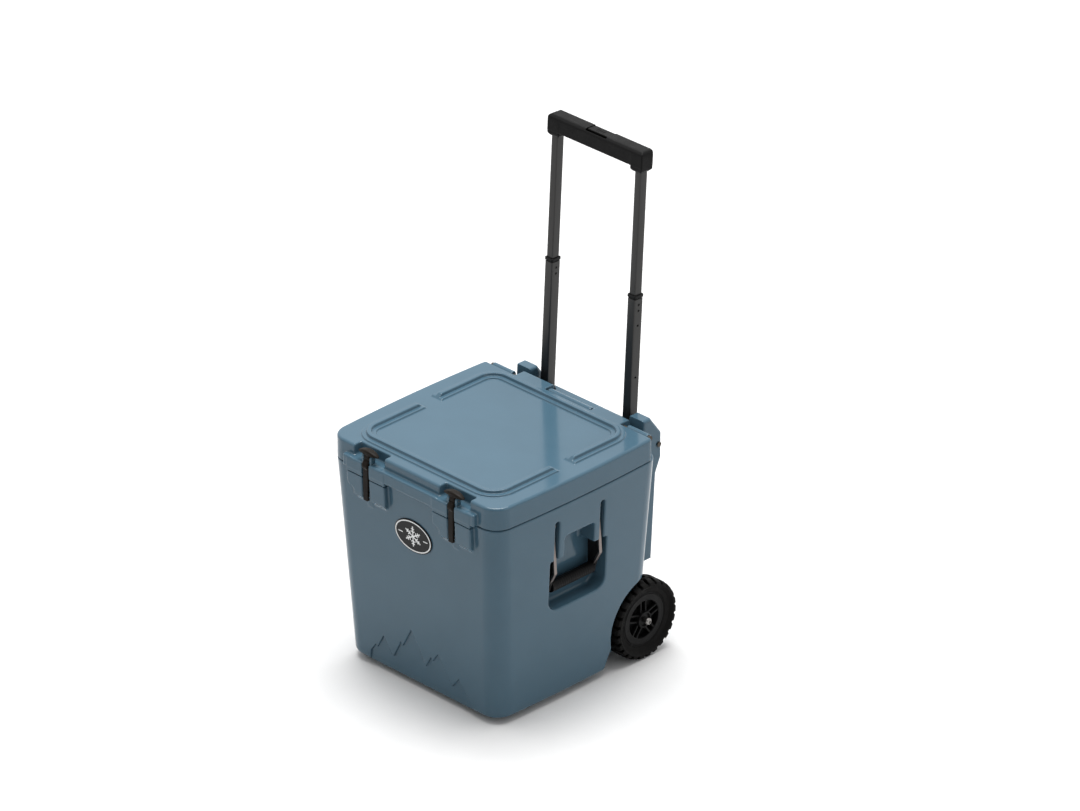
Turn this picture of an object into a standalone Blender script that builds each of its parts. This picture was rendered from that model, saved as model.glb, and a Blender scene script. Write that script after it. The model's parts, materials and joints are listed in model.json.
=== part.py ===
"""A hard cooler on two wheels, with a telescoping pull handle, two swing side handles and two rubber latches.

Metres, +Z up, +X to the cooler's right, -Y to its front. Shapes are placed in the tub's own frame, whose Y
is 0 halfway between the tub's front and back faces, and one empty carries them all to the row's frame, whose
origin is on the floor under the middle of the whole object.
"""

import math

import bmesh
import bpy
from mathutils import Matrix, Vector

# Driving dimensions.
FRAME_Y = -0.032136  # carries the tub's frame to the row's frame
GAP = 0.0003  # between pieces that touch
DRAFT = math.tan(math.radians(2.92))  # every moulded wall leans in towards the floor by this much
HALF_WIDTH = 0.240  # tub and lid, at the parting line, at a corner
HALF_DEPTH = 0.234
CROWN = 0.005  # how far a side bulges at its middle
CORNER_R = 0.042
UNDERSIDE_Z = 0.012
RIM_Z = 0.461
LID_BOTTOM_Z = 0.463
LID_TOP_Z = 0.512
FLOOR_Z = 0.058  # inside the cooler
WALL = 0.050  # outside face to inside face of the tub
SKIN = 0.005  # thickness of each moulded skin round the foam

BEAD_HALF = (0.190, 0.1875)
BEAD_Y = -0.0045
BEAD_BASE, BEAD_TOP, BEAD_HEIGHT = 0.0154, 0.0034, 0.0086
BEAD_BREAK = (-0.022, 0.019)  # the bead stops between these Y values on both sides
BEAD_RAMP = 0.012  # length of the slope that ends it

HINGE_Y, HINGE_Z = 0.215, 0.503
HINGE_R = 0.008
ROD_R = 0.003
POST_SPANS = ((-0.221, -0.164), (-0.060, 0.060), (0.164, 0.221))
HINGE_NOTCHES = ((-0.260, -0.150), (-0.065, 0.065), (0.150, 0.260))

LATCH_X = 0.122
LATCH_PIN = (-0.236, 0.500)
LATCH_FRONT_Y = -0.246
LIP_Z = 0.4895  # top of the lid's front lip and floor of the latch notches
STRAP_HALF, STRAP_DEEP = 0.0075, 0.006
STRAP_FOOT_Z = 0.404
HEAD_HALF = 0.030
KNOB, KNOB_HALF, KNOB_R = (-0.2425, 0.4835), 0.0078, 0.0070

WHEEL_Y, WHEEL_R = 0.207, 0.087
WHEEL_X = (0.1785, 0.2300)
RIM_R, HUB_R = 0.060, 0.018
SPOKE_HALF, SPOKE_SPREAD = 0.0028, 7.0  # half-width, and degrees from the middle of its pair
AXLE_R, BLOCK_X = 0.005, 0.158
ARCH_CENTRE, ARCH_R, ARCH_X = (0.213, 0.084), 0.106, 0.176

SIDE_PIVOT = (0.226, 0.412)  # X and Z of the side handle's pins
SIDE_GRIP = (0.213, 0.266)
SIDE_ARM_Y, ARM_THICK = 0.064, 0.008
RECESS_FLOOR_X = 0.195

POLE_LEAN = math.radians(3.01)
POLE_FOOT_Y = 0.2406  # where the poles' centre line meets the floor
POLE_X = 0.117
SLEEVE = (0.0240, 0.0274)
LOWER_TUBE = (0.0210, 0.0240)
UPPER_TUBE = (0.0170, 0.0195)
TUBE_WALL = 0.0015
SLEEVE_S = (0.193, 0.475)  # distances up the poles' centre line
LOWER_S = (0.430, 0.757)
COLLAR_S = 0.771
UPPER_S = (0.730, 1.053)
GRIP_S = (1.0395, 1.0857)
GRIP_HALF = 0.132
GRIP_BAR = 0.036
BUTTON_HALF = 0.028

HOUSING_HALF, HOUSING_EAR = 0.182, 0.140
HOUSING_Z = (0.190, 0.470)
HOUSING_SCREW = (0.284, 0.448)

BADGE_Z, BADGE_R, BADGE_STRETCH = 0.3655, 0.037, 1.45
BADGE_THICK = 0.0030
RELIEF_DEPTH = 0.0025
RELIEF_PEAKS = (
    (-0.150, 0.020),
    (-0.108, 0.084),
    (-0.078, 0.058),
    (-0.024, 0.132),
    (0.020, 0.078),
    (0.052, 0.104),
    (0.092, 0.052),
    (0.112, 0.066),
    (0.150, 0.020),
)

DRAIN_Y, DRAIN_Z = -0.130, 0.078

BLUE = (0.086, 0.130, 0.165, 1.0)
BLACK = (0.014, 0.014, 0.015, 1.0)
RUBBER = (0.019, 0.016, 0.013, 1.0)
FOAM = (0.80, 0.72, 0.50, 1.0)
STEEL = (0.55, 0.56, 0.57, 1.0)
POLE_GREY = (0.09, 0.09, 0.09, 1.0)
ARM_GREY = (0.36, 0.34, 0.33, 1.0)


def clear_scene():
    for thing in list(bpy.data.objects):
        bpy.data.objects.remove(thing, do_unlink=True)


def new_collection(name):
    collection = bpy.data.collections.new(name)
    bpy.context.scene.collection.children.link(collection)
    return collection


clear_scene()
PARTS = new_collection("wheeled_cooler")
CUTTERS = new_collection("cutters")
CUTTERS.hide_render = True
ORIGIN = bpy.data.objects.new("tub_frame", None)
ORIGIN.location = (0.0, FRAME_Y, 0.0)
PARTS.objects.link(ORIGIN)


def material(name, colour, roughness, metallic=0.0):
    made = bpy.data.materials.get(name) or bpy.data.materials.new(name)
    made.use_nodes = True
    shader = made.node_tree.nodes["Principled BSDF"]
    shader.inputs["Base Color"].default_value = colour
    shader.inputs["Roughness"].default_value = roughness
    shader.inputs["Metallic"].default_value = metallic
    return made


# How a solid is made: object_of puts a bmesh in the scene, and the functions after it fill one.


def object_of(name, shape, collection=None):
    bmesh.ops.recalc_face_normals(shape, faces=shape.faces)
    if shape.calc_volume(signed=True) < 0:
        bmesh.ops.reverse_faces(shape, faces=shape.faces)
    mesh = bpy.data.meshes.new(name)
    shape.to_mesh(mesh)
    shape.free()
    made = bpy.data.objects.new(name, mesh)
    (collection or CUTTERS).objects.link(made)
    made.parent = ORIGIN
    made.hide_render = collection is None
    made.display_type = "WIRE" if collection is None else "TEXTURED"
    return made


def part(thing, look):
    """Moves a solid from the cutters to the parts and gives it its material."""
    CUTTERS.objects.unlink(thing)
    PARTS.objects.link(thing)
    thing.hide_render = False
    thing.display_type = "TEXTURED"
    thing.data.materials.append(material(*look))
    thing.data.shade_smooth()
    thing.data.set_sharp_from_angle(angle=math.radians(35))
    return thing


def box(name, low, high, bevel=0.0, segments=2):
    low, high = Vector(low), Vector(high)
    shape = bmesh.new()
    place = Matrix.Translation((low + high) / 2) @ Matrix.Diagonal((*(high - low), 1.0))
    bmesh.ops.create_cube(shape, size=1.0, matrix=place)
    made = object_of(name, shape)
    if bevel:
        rounded = made.modifiers.new("rounded", "BEVEL")
        rounded.width = bevel
        rounded.segments = segments
    return made


AXES = {
    "X": Matrix.Rotation(math.radians(90), 4, "Y"),
    "Y": Matrix.Rotation(math.radians(-90), 4, "X"),
    "Z": Matrix.Identity(4),
}


def cylinder(name, axis, centre, radius, length, sides=24, tip=None):
    """A cylinder, or a cone that narrows to the radius tip, centred on centre."""
    shape = bmesh.new()
    bmesh.ops.create_cone(
        shape,
        cap_ends=True,
        segments=sides,
        radius1=radius,
        radius2=radius if tip is None else tip,
        depth=length,
        matrix=Matrix.Translation(centre) @ AXES[axis],
    )
    return object_of(name, shape)


def span(name, axis, low, high, across, radius, sides=24):
    """A cylinder along an axis between two values of it, at the other two coordinates in across."""
    at = list(across)
    at.insert("XYZ".index(axis), (low + high) / 2)
    return cylinder(name, axis, at, radius, high - low, sides)


def turned(name, profile, centre, side, steps=40):
    """A profile of (radius, distance along X) turned about X through centre, mirrored for side -1."""
    mesh = bpy.data.meshes.new(name)
    points = [(radius, 0.0, along) for radius, along in profile]
    edges = [(n, (n + 1) % len(points)) for n in range(len(points))]
    mesh.from_pydata(points, edges, [])
    made = bpy.data.objects.new(name, mesh)
    CUTTERS.objects.link(made)
    made.hide_render = True
    screw = made.modifiers.new("turned", "SCREW")
    screw.steps = screw.render_steps = steps
    screw.use_merge_vertices = True
    screw.merge_threshold = 0.0001
    bpy.context.view_layer.update()
    graph = bpy.context.evaluated_depsgraph_get()
    solid = bpy.data.meshes.new_from_object(made.evaluated_get(graph))
    bpy.data.objects.remove(made, do_unlink=True)
    shape = bmesh.new()
    shape.from_mesh(solid)
    bmesh.ops.remove_doubles(shape, verts=shape.verts, dist=0.00001)
    shape.transform(AXES["X"])
    shape.transform(Matrix.Diagonal((side, 1.0, 1.0, 1.0)))
    shape.transform(Matrix.Translation(centre))
    return object_of(name, shape)


def outline(name, axis, points, low, high):
    """A flat outline, given as (Y, Z), (X, Z) or (X, Y), made solid along the third axis from low to high."""
    place = {
        "X": lambda a, b, c: (c, a, b),
        "Y": lambda a, b, c: (a, c, b),
        "Z": lambda a, b, c: (a, b, c),
    }[axis]
    shape = bmesh.new()
    ends = [[shape.verts.new(place(a, b, c)) for a, b in points] for c in (low, high)]
    for end in ends:
        shape.faces.new(end)
    for n in range(len(points)):
        after = (n + 1) % len(points)
        shape.faces.new((ends[0][n], ends[0][after], ends[1][after], ends[1][n]))
    return object_of(name, shape)


def arc(centre, radius, start, end, steps):
    """Points on an arc, in degrees."""
    angles = [math.radians(start + (end - start) * n / steps) for n in range(steps + 1)]
    return [(centre[0] + radius * math.cos(a), centre[1] + radius * math.sin(a)) for a in angles]


def ring(half_x, front, back, radius, crown=0.0, steps=4):
    """A moulding seen from above: a rounded rectangle whose two sides bulge by crown at their middle."""
    corners = (
        ((half_x - radius, back - radius), 0),
        ((radius - half_x, back - radius), 90),
        ((radius - half_x, front + radius), 180),
        ((half_x - radius, front + radius), 270),
    )
    middle = (front + back) / 2
    points = []
    for centre, start in corners:
        points += arc(centre, radius, start, start + 90, steps)
    if crown:
        along = (back - front) / 2 - radius
        sides = [(half_x + crown * (1 - (y / along) ** 2), middle + y) for y in (-along / 2, 0, along / 2)]
        points += sides
        points[2 * (steps + 1) : 2 * (steps + 1)] = [(-x, y) for x, y in reversed(sides)]
    return points


def loft(name, levels):
    """A solid through outlines of equal point counts, each (z, points), bottom first."""
    shape = bmesh.new()
    rows = [[shape.verts.new((x, y, z)) for x, y in points] for z, points in levels]
    shape.faces.new(rows[0])
    shape.faces.new(rows[-1])
    count = len(rows[0])
    for lower, upper in zip(rows, rows[1:]):
        for n in range(count):
            after = (n + 1) % count
            shape.faces.new((lower[n], lower[after], upper[after], upper[n]))
    return object_of(name, shape)


def change(solid, operation, *others):
    for other in others:
        boolean = solid.modifiers.new(other.name, "BOOLEAN")
        boolean.operation = operation
        boolean.solver = "EXACT"
        boolean.object = other
    return solid


def cut(solid, *others):
    return change(solid, "DIFFERENCE", *others)


def join(solid, *others):
    return change(solid, "UNION", *others)


def draft(z):
    """How far a moulded wall has leaned in at this height."""
    return DRAFT * (RIM_Z - z)


# The tub.


def tub_level(z, inset):
    lean = draft(z) + inset
    return z, ring(HALF_WIDTH - lean, lean - HALF_DEPTH, HALF_DEPTH - lean, CORNER_R - inset / 2, CROWN)


def inside_level(z, outset=0.0):
    lean = draft(z) + WALL - outset
    return z, ring(HALF_WIDTH - lean, lean - HALF_DEPTH, HALF_DEPTH - lean - 0.010, 0.034)


def arch_outline(grow):
    """The wheel arch in the YZ plane, with the slant that ends the flat underside."""
    curve = arc(ARCH_CENTRE, ARCH_R + grow, 192, 0, 22)
    return [(0.082 - grow, -0.002), *curve, (ARCH_CENTRE[0] + ARCH_R + grow, -0.002)]


def recess_outline(grow):
    """The hand recess in a side wall, in the YZ plane: a tray, its raised middle, and a slot for each arm."""
    half, low, high = 0.080 + grow, 0.221 - grow, 0.338 + grow
    slot = (SIDE_ARM_Y - 0.006 - grow, SIDE_ARM_Y + 0.006 + grow, 0.427 + grow)
    middle = (0.042 + grow, 0.385 + grow)
    right = [
        *arc((half - 0.025, low + 0.025), 0.025, -90, 0, 4),
        (half, high),
        (slot[1], high),
        (slot[1], slot[2]),
        (slot[0], slot[2]),
        (slot[0], high),
        (middle[0], high),
        (middle[0], middle[1]),
    ]
    return right + [(-y, z) for y, z in reversed(right)]


def foam_core(name, grow):
    """The foam between the tub's skins, kept clear of every recess. grow is the gap that its cavity adds."""
    inner = SKIN - grow
    core = loft(
        name,
        [
            tub_level(UNDERSIDE_Z + SKIN + 0.006 - grow, inner + 0.004),
            tub_level(UNDERSIDE_Z + SKIN + 0.012 - grow, inner),
            tub_level(RIM_Z - 0.008 + grow, inner),
        ],
    )
    liner = loft(name + "_liner", [inside_level(FLOOR_Z - inner, inner), inside_level(RIM_Z + 0.02, inner)])
    cut(core, liner)
    for side, label in ((-1, "left"), (1, "right")):
        ends = sorted((side * (RECESS_FLOOR_X - inner), side * 0.26))
        recess = outline(f"{name}_recess_{label}", "X", recess_outline(inner), *ends)
        ends = sorted((side * (ARCH_X - inner), side * 0.26))
        arch = outline(f"{name}_arch_{label}", "X", arch_outline(inner), *ends)
        cut(core, recess, arch)
    groove = box(name + "_groove", (-0.25, 0.198 - inner, 0.072), (0.25, 0.25, 0.102))
    drain = span(name + "_drain", "X", -0.25, -0.15, (DRAIN_Y, DRAIN_Z), 0.0225 - grow)
    rear = box(name + "_rear", (-0.25, 0.193 + grow, 0.0), (0.25, 0.25, 0.110 - grow))
    cut(core, groove, drain, rear)
    return core


def front_relief():
    """A range of hills sunk into the foot of the front, leaning as the wall does."""
    front = draft(0.0) - HALF_DEPTH
    relief = outline("relief", "Y", RELIEF_PEAKS, front - 0.02, front + RELIEF_DEPTH)
    to_face = Matrix.Translation((0.0, front, 0.0))
    lean = Matrix.Rotation(math.atan(DRAFT), 4, "X")
    relief.data.transform(to_face @ lean @ to_face.inverted())
    return relief


def latch_pads(x):
    """Two pads on the tub's front beside each strap, with slanted lower ends."""
    pads = []
    for side, label in ((-1, "a"), (1, "b")):
        ends = sorted((x + side * 0.010, x + side * 0.054))
        section = [(-0.222, 0.455), (LATCH_FRONT_Y, 0.455), (LATCH_FRONT_Y + 0.002, 0.410), (-0.222, 0.388)]
        pads.append(outline(f"pad_{label}_{x:.3f}", "X", section, *ends))
    return pads


def hinge_post(low, high):
    """An ear that rises from the rim and holds the hinge rod."""
    head = arc((HINGE_Y, HINGE_Z), HINGE_R, 0, 180, 8)
    foot = [(HINGE_Y - HINGE_R, RIM_Z - 0.004), (HINGE_Y + HINGE_R, RIM_Z - 0.004)]
    return outline(f"post_{low:.3f}", "X", head + foot, low, high)


def make_tub():
    shell = loft(
        "body_shell",
        [tub_level(UNDERSIDE_Z, 0.008), tub_level(UNDERSIDE_Z + 0.009, 0.0), tub_level(RIM_Z, 0.0)],
    )
    for x in (-LATCH_X, LATCH_X):
        join(shell, *latch_pads(x))
    for low, high in POST_SPANS:
        join(shell, hinge_post(low, high))
    cut(shell, loft("tub_inside", [inside_level(FLOOR_Z), inside_level(RIM_Z + 0.06)]))
    cut(shell, foam_core("foam_space", GAP))
    for side, label in ((-1, "left"), (1, "right")):
        ends = sorted((side * RECESS_FLOOR_X, side * 0.26))
        cut(shell, outline(f"recess_{label}", "X", recess_outline(0.0), *ends))
        ends = sorted((side * ARCH_X, side * 0.26))
        cut(shell, outline(f"arch_{label}", "X", arch_outline(0.0), *ends))
        for y in (-SIDE_ARM_Y, SIDE_ARM_Y):
            across = (side * SIDE_PIVOT[0], SIDE_PIVOT[1])
            cut(shell, span(f"pin_hole_{label}_{y:.2f}", "Y", y - 0.0106, y + 0.0106, across, 0.0033, 12))
    cut(shell, box("axle_groove", (-0.19, 0.198, 0.077), (0.19, 0.25, 0.097)))
    cut(shell, span("rod_hole", "X", -0.25, 0.25, (HINGE_Y, HINGE_Z), ROD_R + GAP, 16))
    cut(shell, span("drain_hole", "X", -0.25, -0.15, (DRAIN_Y, DRAIN_Z), 0.0143))
    cut(shell, span("drain_seat", "X", -0.25, -0.214, (DRAIN_Y, DRAIN_Z), 0.0203))
    cut(shell, span("foam_port", "Z", 0.0, UNDERSIDE_Z + 0.020, (0.0, -0.120), 0.0123))
    cut(shell, front_relief())
    return part(shell, ("moulded_blue", BLUE, 0.35))


def make_tub_fittings():
    part(foam_core("body_foam", 0.0), ("foam", FOAM, 0.9))
    plug = span("foam_plug", "Z", UNDERSIDE_Z - 0.001, UNDERSIDE_Z + 0.009, (0.0, -0.120), 0.012)
    part(plug, ("black_plastic", BLACK, 0.5))
    badge_points = [(BADGE_STRETCH * x, z) for x, z in arc((0.0, 0.0), BADGE_R, 0, 360, 40)[:-1]]
    badge = outline("badge", "Y", badge_points, -BADGE_THICK, -GAP)
    badge.location = (0.0, draft(BADGE_Z) - HALF_DEPTH, BADGE_Z)
    badge.rotation_euler = (math.atan(DRAFT), 0.0, 0.0)
    part(badge, ("badge", POLE_GREY, 0.4))
    for side, label in ((-1, "left"), (1, "right")):
        foot = cylinder(f"foot_{label}", "Z", (side * 0.171, -0.165, 0.00585), 0.0165, 0.0117, 28, 0.018)
        part(foot, ("rubber", RUBBER, 0.8))
        for y, where in ((-SIDE_ARM_Y, "front"), (SIDE_ARM_Y, "back")):
            across = (side * SIDE_PIVOT[0], SIDE_PIVOT[1])
            pin = span(f"side_pin_{label}_{where}", "Y", y - 0.0103, y + 0.0103, across, 0.003, 16)
            part(pin, ("steel", STEEL, 0.3, 1.0))


# The lid.


def lid_level(z, inset=0.0, back=HALF_DEPTH):
    return z, ring(HALF_WIDTH - inset, inset - HALF_DEPTH, back - inset, CORNER_R - inset / 2, CROWN)


def bead():
    """The raised line on the lid's top, which stops short of the middle of each side."""

    def level(z, across, lift=0.0):
        half_x, half_y = BEAD_HALF[0] + across, BEAD_HALF[1] + across
        return z + lift, ring(half_x, BEAD_Y - half_y, BEAD_Y + half_y, 0.040 + across)

    base, top = LID_TOP_Z - 0.001, LID_TOP_Z + BEAD_HEIGHT
    line = loft("bead", [level(base, BEAD_BASE), level(top, BEAD_TOP)])
    low, high = level(base, -BEAD_BASE, -0.002), level(top, -BEAD_TOP, 0.002)
    middle = loft("bead_middle", [low, level(base, -BEAD_BASE), level(top, -BEAD_TOP), high])
    cut(line, middle)
    front, back = BEAD_BREAK
    low, high = LID_TOP_Z - 0.007, LID_TOP_Z + BEAD_HEIGHT + 0.0014
    slopes = [(back, LID_TOP_Z), (back + BEAD_RAMP, high), (front - BEAD_RAMP, high), (front, LID_TOP_Z)]
    cut(line, outline("bead_break", "X", [(front, low), (back, low), *slopes], -0.25, 0.25))
    return line


def make_lid():
    shell = loft(
        "lid_shell",
        [
            lid_level(LID_BOTTOM_Z, 0.0, 0.2225),
            lid_level(LID_BOTTOM_Z + 0.0048),
            lid_level(LID_TOP_Z - 0.006),
            lid_level(LID_TOP_Z, 0.0055),
        ],
    )
    half_x, front, back = HALF_WIDTH - WALL - 0.006, 0.056 - HALF_DEPTH, HALF_DEPTH - WALL - 0.016
    plug = loft(
        "lid_plug_form",
        [
            (0.447, ring(half_x - 0.004, front + 0.004, back - 0.004, 0.030)),
            (LID_BOTTOM_Z + 0.002, ring(half_x, front, back, 0.030)),
        ],
    )
    lip = box("lid_lip", (-0.187, LATCH_FRONT_Y, LID_BOTTOM_Z), (0.187, -0.225, LIP_Z))
    join(shell, plug, lip, bead())
    for x in (-LATCH_X, LATCH_X):
        drop = ((x - 0.054, LATCH_FRONT_Y, 0.456), (x + 0.054, -0.2346, LIP_Z - 0.004))
        join(shell, box(f"lip_drop_{x}", *drop))
        cut(shell, box(f"notch_{x}", (x - 0.043, -0.26, LIP_Z), (x + 0.043, -0.214, 0.53)))
        cut(shell, box(f"strap_slot_{x}", (x - 0.010, -0.26, 0.44), (x + 0.010, -0.2350, LIP_Z + 0.001)))
        for side, label in ((-1, "a"), (1, "b")):
            ends = sorted((x + side * 0.0082, x + side * 0.0140))
            lug_low = LIP_Z - 0.003
            section = [(-0.230, lug_low), *arc(LATCH_PIN, 0.006, 0, 180, 6), (-0.242, lug_low)]
            join(shell, outline(f"lug_{label}_{x}", "X", section, *ends))
        cut(shell, span(f"latch_bore_{x}", "X", x - 0.02, x + 0.02, LATCH_PIN, 0.0023, 12))
    for low, high in HINGE_NOTCHES:
        cut(shell, box(f"hinge_notch_{low}", (low, 0.2055, 0.44), (high, 0.26, 0.53)))
    cut(shell, span("lid_rod_hole", "X", -0.25, 0.25, (HINGE_Y, HINGE_Z), ROD_R + GAP, 16))
    cut(shell, lid_core("lid_foam_space", GAP))
    cut(shell, span("lid_port", "Z", 0.43, 0.470, (0.0, 0.0), 0.0123))
    return part(shell, ("moulded_blue", BLUE, 0.35))


def lid_core(name, grow):
    """The foam in the lid: a narrow part in the plug under it and a wide one above."""
    narrow = ring(HALF_WIDTH - 0.062 + grow, -0.172 - grow, 0.158 + grow, 0.026)
    wide = ring(HALF_WIDTH - 0.026 + grow, -0.206 - grow, 0.196 + grow, 0.028)
    return loft(
        name,
        [
            (0.4530 - grow, narrow),
            (0.4675 - grow, narrow),
            (0.4690 - grow, wide),
            (LID_TOP_Z - 0.006 + grow, wide),
        ],
    )


def make_lid_fittings():
    part(lid_core("lid_foam", 0.0), ("foam", FOAM, 0.9))
    plug = span("lid_foam_plug", "Z", 0.446, 0.4525, (0.0, 0.0), 0.012)
    part(plug, ("black_plastic", BLACK, 0.5))
    low, high = RIM_Z + GAP, LID_BOTTOM_Z - GAP
    outer = ring(HALF_WIDTH - 0.030, 0.030 - HALF_DEPTH, HALF_DEPTH - 0.038, 0.034)
    seal = loft("lid_gasket", [(low, outer), (high, outer)])
    inner = ring(HALF_WIDTH - 0.038, 0.038 - HALF_DEPTH, HALF_DEPTH - 0.046, 0.028)
    cut(seal, loft("gasket_middle", [(low - 0.01, inner), (high + 0.01, inner)]))
    part(seal, ("rubber", RUBBER, 0.8))
    for x, label in ((-LATCH_X, "left"), (LATCH_X, "right")):
        pin = span(f"latch_pin_{label}", "X", x - 0.0155, x + 0.0155, LATCH_PIN, 0.002, 16)
        part(pin, ("steel", STEEL, 0.3, 1.0))
    rod = span("hinge_rod", "X", -0.2225, 0.2225, (HINGE_Y, HINGE_Z), ROD_R, 20)
    for side in (-1, 1):
        ends = sorted((side * 0.2215, side * 0.2255))
        join(rod, span(f"rod_head_{side}", "X", *ends, (HINGE_Y, HINGE_Z), 0.006, 20))
    part(rod, ("steel", STEEL, 0.3, 1.0))


# The latches: one rubber piece each, with a wide head above the pin and a strap below it.


def make_latches():
    y, z = LATCH_PIN
    for x, label in ((-LATCH_X, "left"), (LATCH_X, "right")):
        strap = box(
            f"latch_{label}",
            (x - STRAP_HALF, LATCH_FRONT_Y, STRAP_FOOT_Z),
            (x + STRAP_HALF, LATCH_FRONT_Y + STRAP_DEEP, z - 0.004),
            0.0015,
        )
        neck = span(f"neck_{label}", "X", x - STRAP_HALF, x + STRAP_HALF, (y - 0.001, z), 0.0055)
        low, high = (x - 0.0065, LATCH_FRONT_Y + 0.001, z - 0.012), (x + 0.0065, -0.2354, z + 0.009)
        throat = box(f"throat_{label}", low, high)
        low, high = (x - HEAD_HALF, -0.2390, z + 0.0070), (x + HEAD_HALF, -0.2260, z + 0.0175)
        head = box(f"head_{label}", low, high, 0.0045)
        knob = span(f"knob_{label}", "X", x - KNOB_HALF, x + KNOB_HALF, KNOB, KNOB_R)
        join(strap, neck, throat, head, knob)
        cut(strap, span(f"neck_bore_{label}", "X", x - 0.02, x + 0.02, LATCH_PIN, 0.0023, 16))
        part(strap, ("rubber", RUBBER, 0.6))


# The side handles.


def make_side_handles():
    for side, label in ((-1, "left"), (1, "right")):
        spine = ((SIDE_PIVOT[0], SIDE_PIVOT[1]), (0.2305, 0.351), (0.2335, 0.306), SIDE_GRIP)
        for y, where in ((-SIDE_ARM_Y, "front"), (SIDE_ARM_Y, "back")):
            arm = arm_plate(f"side_arm_{label}_{where}", spine, side, y)
            across = (side * SIDE_PIVOT[0], SIDE_PIVOT[1])
            cut(arm, span(f"arm_eye_{label}_{where}", "Y", y - 0.01, y + 0.01, across, 0.0033, 16))
            part(arm, ("handle_arm", ARM_GREY, 0.45, 0.6))
        reach = SIDE_ARM_Y - ARM_THICK / 2 - GAP
        grip = span(f"side_grip_{label}", "Y", -reach, reach, (side * SIDE_GRIP[0], SIDE_GRIP[1]), 0.0125, 28)
        part(grip, ("grip", BLACK, 0.6))


def arm_plate(name, spine, side, y):
    """A flat bar of constant width round the points of spine, in the XZ plane, with round ends."""
    half = 0.0075
    first, last = Vector(spine[0]), Vector(spine[-1])
    edges = []
    for turn in (1, -1):
        points = []
        for n in range(1, len(spine) - 1):
            before, here, after = (Vector(spine[k]) for k in (n - 1, n, n + 1))
            along = ((here - before).normalized() + (after - here).normalized()).normalized()
            points.append(here + turn * half * Vector((-along.y, along.x)))
        edges.append(points)
    angle = math.degrees(math.atan2(first.y - spine[1][1], first.x - spine[1][0]))
    start = arc(first, half, angle - 90, angle + 90, 6)
    angle = math.degrees(math.atan2(last.y - spine[-2][1], last.x - spine[-2][0]))
    end = arc(last, half, angle - 90, angle + 90, 6)
    right = [tuple(p) for p in edges[1]]
    left = [tuple(p) for p in edges[0]]
    points = start + right + end + list(reversed(left))
    points = [(side * x, z) for x, z in points]
    return outline(name, "Y", points, y - ARM_THICK / 2, y + ARM_THICK / 2)


# The wheels and their axle.


def make_wheels():
    at = (0.0, WHEEL_Y, WHEEL_R)
    inner, outer = WHEEL_X
    for side, label in ((-1, "left"), (1, "right")):
        bulge = [
            (RIM_R, outer - 0.006),
            (RIM_R + 0.012, outer - 0.0005),
            (RIM_R + 0.018, outer),
            (WHEEL_R - 0.004, outer - 0.004),
            (WHEEL_R, outer - 0.012),
            (WHEEL_R, inner + 0.012),
            (WHEEL_R - 0.004, inner + 0.004),
            (RIM_R + 0.012, inner + 0.0005),
            (RIM_R, inner + 0.006),
        ]
        part(turned(f"tyre_{label}", bulge, at, side, 40), ("rubber", RUBBER, 0.8))
        band = [
            (RIM_R - GAP, outer - 0.0055),
            (RIM_R - GAP, inner + 0.0055),
            (RIM_R - 0.006, inner + 0.0055),
            (RIM_R - 0.010, (inner + outer) / 2),
            (RIM_R - 0.006, outer - 0.0055),
        ]
        rim = turned(f"rim_{label}", band, at, side, 30)
        ends = sorted((side * (inner + 0.002), side * (outer - 0.002)))
        join(rim, span(f"hub_{label}", "X", *ends, (WHEEL_Y, WHEEL_R), HUB_R, 20))
        face = sorted((side * (outer - 0.017), side * (outer - 0.007)))
        for n in range(5):
            for offset in (-SPOKE_SPREAD, SPOKE_SPREAD):
                angle = math.radians(90 + 72 * n + offset)
                ends = (face[0], -SPOKE_HALF, 0.012), (face[1], SPOKE_HALF, RIM_R - 0.005)
                spoke = box(f"spoke_{label}_{n}_{offset}", *ends)
                spoke.rotation_euler = (angle, 0.0, 0.0)
                spoke.location = at
                join(rim, spoke)
        cut(rim, span(f"hub_bore_{label}", "X", -0.3, 0.3, (WHEEL_Y, WHEEL_R), AXLE_R + GAP, 16))
        part(rim, ("rim", BLACK, 0.5))
        ends = sorted((side * 0.2288, side * 0.2335))
        head = span(f"axle_screw_{label}", "X", *ends, (WHEEL_Y, WHEEL_R), 0.008, 6)
        part(head, ("steel", STEEL, 0.3, 1.0))
        low, high = (side * BLOCK_X - 0.017, 0.1984, 0.0775), (side * BLOCK_X + 0.017, 0.214, 0.0965)
        block = box(f"axle_block_{label}", low, high)
        cut(block, span(f"block_bore_{label}", "X", -0.3, 0.3, (WHEEL_Y, WHEEL_R), AXLE_R + GAP, 16))
        part(block, ("black_plastic", BLACK, 0.5))
    part(span("axle", "X", -0.2284, 0.2284, (WHEEL_Y, WHEEL_R), AXLE_R, 20), ("steel", STEEL, 0.3, 1.0))


# The drain: a fitting through the left wall and the plug that screws into it.


def make_drain():
    at = (0.0, DRAIN_Y, DRAIN_Z)
    tube = [(0.0200, 0.2225), (0.0200, 0.2145), (0.0140, 0.2145)]
    tube += [(0.0140, 0.1740), (0.0100, 0.1740), (0.0100, 0.2225)]
    part(turned("drain_fitting", tube, at, -1, 24), ("black_plastic", BLACK, 0.5))
    plug = [(0.0165, 0.2330), (0.0165, 0.2228), (0.0097, 0.2228)]
    plug += [(0.0097, 0.1990), (0.0, 0.1990), (0.0, 0.2330)]
    part(turned("drain_plug", plug, at, -1, 24), ("drain_plug", BLACK, 0.5))


# The telescoping handle. Its pieces are placed in the poles' own frame, leaning back, with s along the poles.


def leaned(thing):
    thing.location = (0.0, POLE_FOOT_Y, 0.0)
    thing.rotation_euler = (-POLE_LEAN, 0.0, 0.0)
    return thing


def pole_box(name, x, size, low, high, bevel=0.0, segments=2):
    half_x, half_y = size[0] / 2, size[1] / 2
    return leaned(box(name, (x - half_x, -half_y, low), (x + half_x, half_y, high), bevel, segments))


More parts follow.
